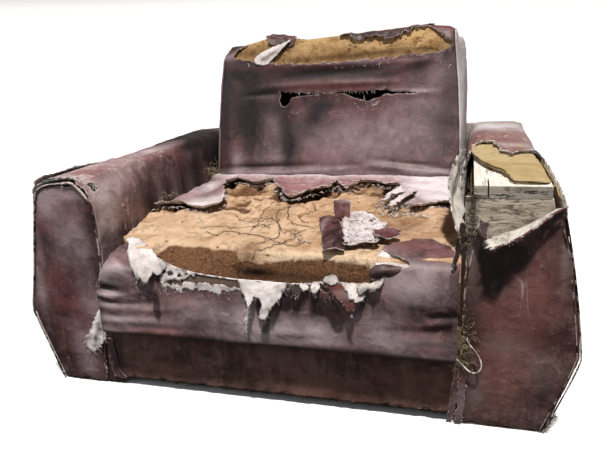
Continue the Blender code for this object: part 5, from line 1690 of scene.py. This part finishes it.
tuft("jointStuffing", [(0.405, armFront - 0.008, 0.228), (0.414, armFront - 0.01, 0.2),
                       (0.42, armFront - 0.01, 0.17), (0.418, armFront - 0.008, 0.135)], 300, 0.02, 0.9,
     0.0005, strawFinish, (0.009, 0.0035, 0.01), 91, armFront - 0.0022)
tuft("facingFuzz", [(0.424, armFront - 0.003, 0.25), (0.43, armFront - 0.003, 0.215),
                    (0.436, armFront - 0.003, 0.17)], 130, 0.011, 0.8, 0.0004, strawFinish,
     (0.01, 0.0008, 0.014), 92, armFront - 0.0022)
tuft("boardKnots", [(0.424, armFront - 0.001, 0.52), (0.43, armFront - 0.001, 0.49),
                    (0.432, armFront - 0.001, 0.45), (0.428, armFront - 0.001, 0.41)], 190, 0.013, 0.8,
     0.0005, darkThread, (0.004, 0.001, 0.008), 93, armFront + 0.003)
tuft("boardWisps", [(0.422, armFront - 0.002, 0.53), (0.428, armFront - 0.004, 0.48),
                    (0.424, armFront - 0.003, 0.42)], 60, 0.02, 0.5, 0.0005, strawFinish,
     (0.004, 0.002, 0.008), 94, armFront + 0.003)
tuft("outerFibres", [(0.576, -0.15, 0.524), (0.584, -0.3, 0.512), (0.588, armFront, 0.502),
                     (0.594, armFront, 0.48)], 110, 0.009, 0.6, 0.0005, strawFinish, (0.002, 0.004, 0.004),
     95)
tuft("footClump", [(0.579, armFront - 0.001, 0.013), (0.592, armFront - 0.001, 0.024),
                   (0.604, armFront - 0.001, 0.046)], 80, 0.009, 0.8, 0.0006, darkThread,
     (0.004, 0.001, 0.004), 96, armFront - 0.0016)
tuft("strawLeft", [(-0.405, 0.191, 0.424), (-0.405, 0.252, 0.418), (-0.404, 0.33, 0.39),
                   (-0.4, 0.208, 0.392)], 110, 0.036, 0.35, 0.0007, strawFinish, (0.004, 0.02, 0.008), 97)
tuft("strawSmall", [(-0.404, -0.116, 0.424), (-0.402, -0.055, 0.4)], 36, 0.024, 0.35, 0.0007, strawFinish,
     (0.003, 0.01, 0.005), 98)
tuft("postFibres", [(0.398, 0.33, 0.5), (0.4, 0.27, 0.46), (0.402, 0.2, 0.425)], 50, 0.018, 0.5, 0.0005,
     whiteThread, (0.004, 0.006, 0.01), 99)

# threads of the old cover, caught on the seat foam
darkThreads = [
    [(-174, -319), (-138, -345), (-129, -307), (-78, -324), (-50, -335), (-4, -358), (31, -381), (64, -403),
     (85, -374)],
    [(59, -279), (40, -353), (18, -395), (-4, -423), (-37, -440), (-68, -431)],
    [(-70, -294), (-78, -216), (-96, -90), (-106, -7)],
    [(-40, -100), (-10, -200), (30, -250), (80, -270)],
    [(-150, -200), (-100, -235), (-40, -220), (0, -290), (60, -330)],
    [(-20, -50), (-50, -150), (-20, -240), (10, -330), (-20, -390)],
    [(20, -60), (45, -140), (20, -200), (60, -240)],
    [(-200, -290), (-150, -270), (-110, -280), (-60, -260), (-30, -280)],
]


def laidThread(points, seed, wobble=0.003):
    # (x, y) points in mm
    rng = np.random.RandomState(seed)
    route = smoothPath(mm(points), 8)
    route = route + rng.normal(0, wobble, route.shape)
    lift = 0.0016 + 0.0022 * np.abs(ripple(route[:, 0], route[:, 1], 0.03, seed))
    return np.stack([route[:, 0], route[:, 1], seatFoamTop(route[:, 0], route[:, 1])[0] + lift], axis=1)


strands("seatThreads", [laidThread(points, 200 + k) for k, points in enumerate(darkThreads)], 0.0013,
        darkThread)
paleRuns = [laidThread([(-286, -151), (-250, -200), (-207, -259)], 211),
            laidThread([(40, -300), (70, -360), (100, -380)], 212)]
for k in range(7):
    paleRuns.append(laidThread([(205 + 14 * k, 80 - 20 * k), (190 + 15 * k, -20),
                                (200 + 20 * k, -110 - 10 * k), (225 + 16 * k, -150)], 220 + k, 0.004))
strands("paleThreads", paleRuns, 0.002, whiteThread)
print("threads laid")
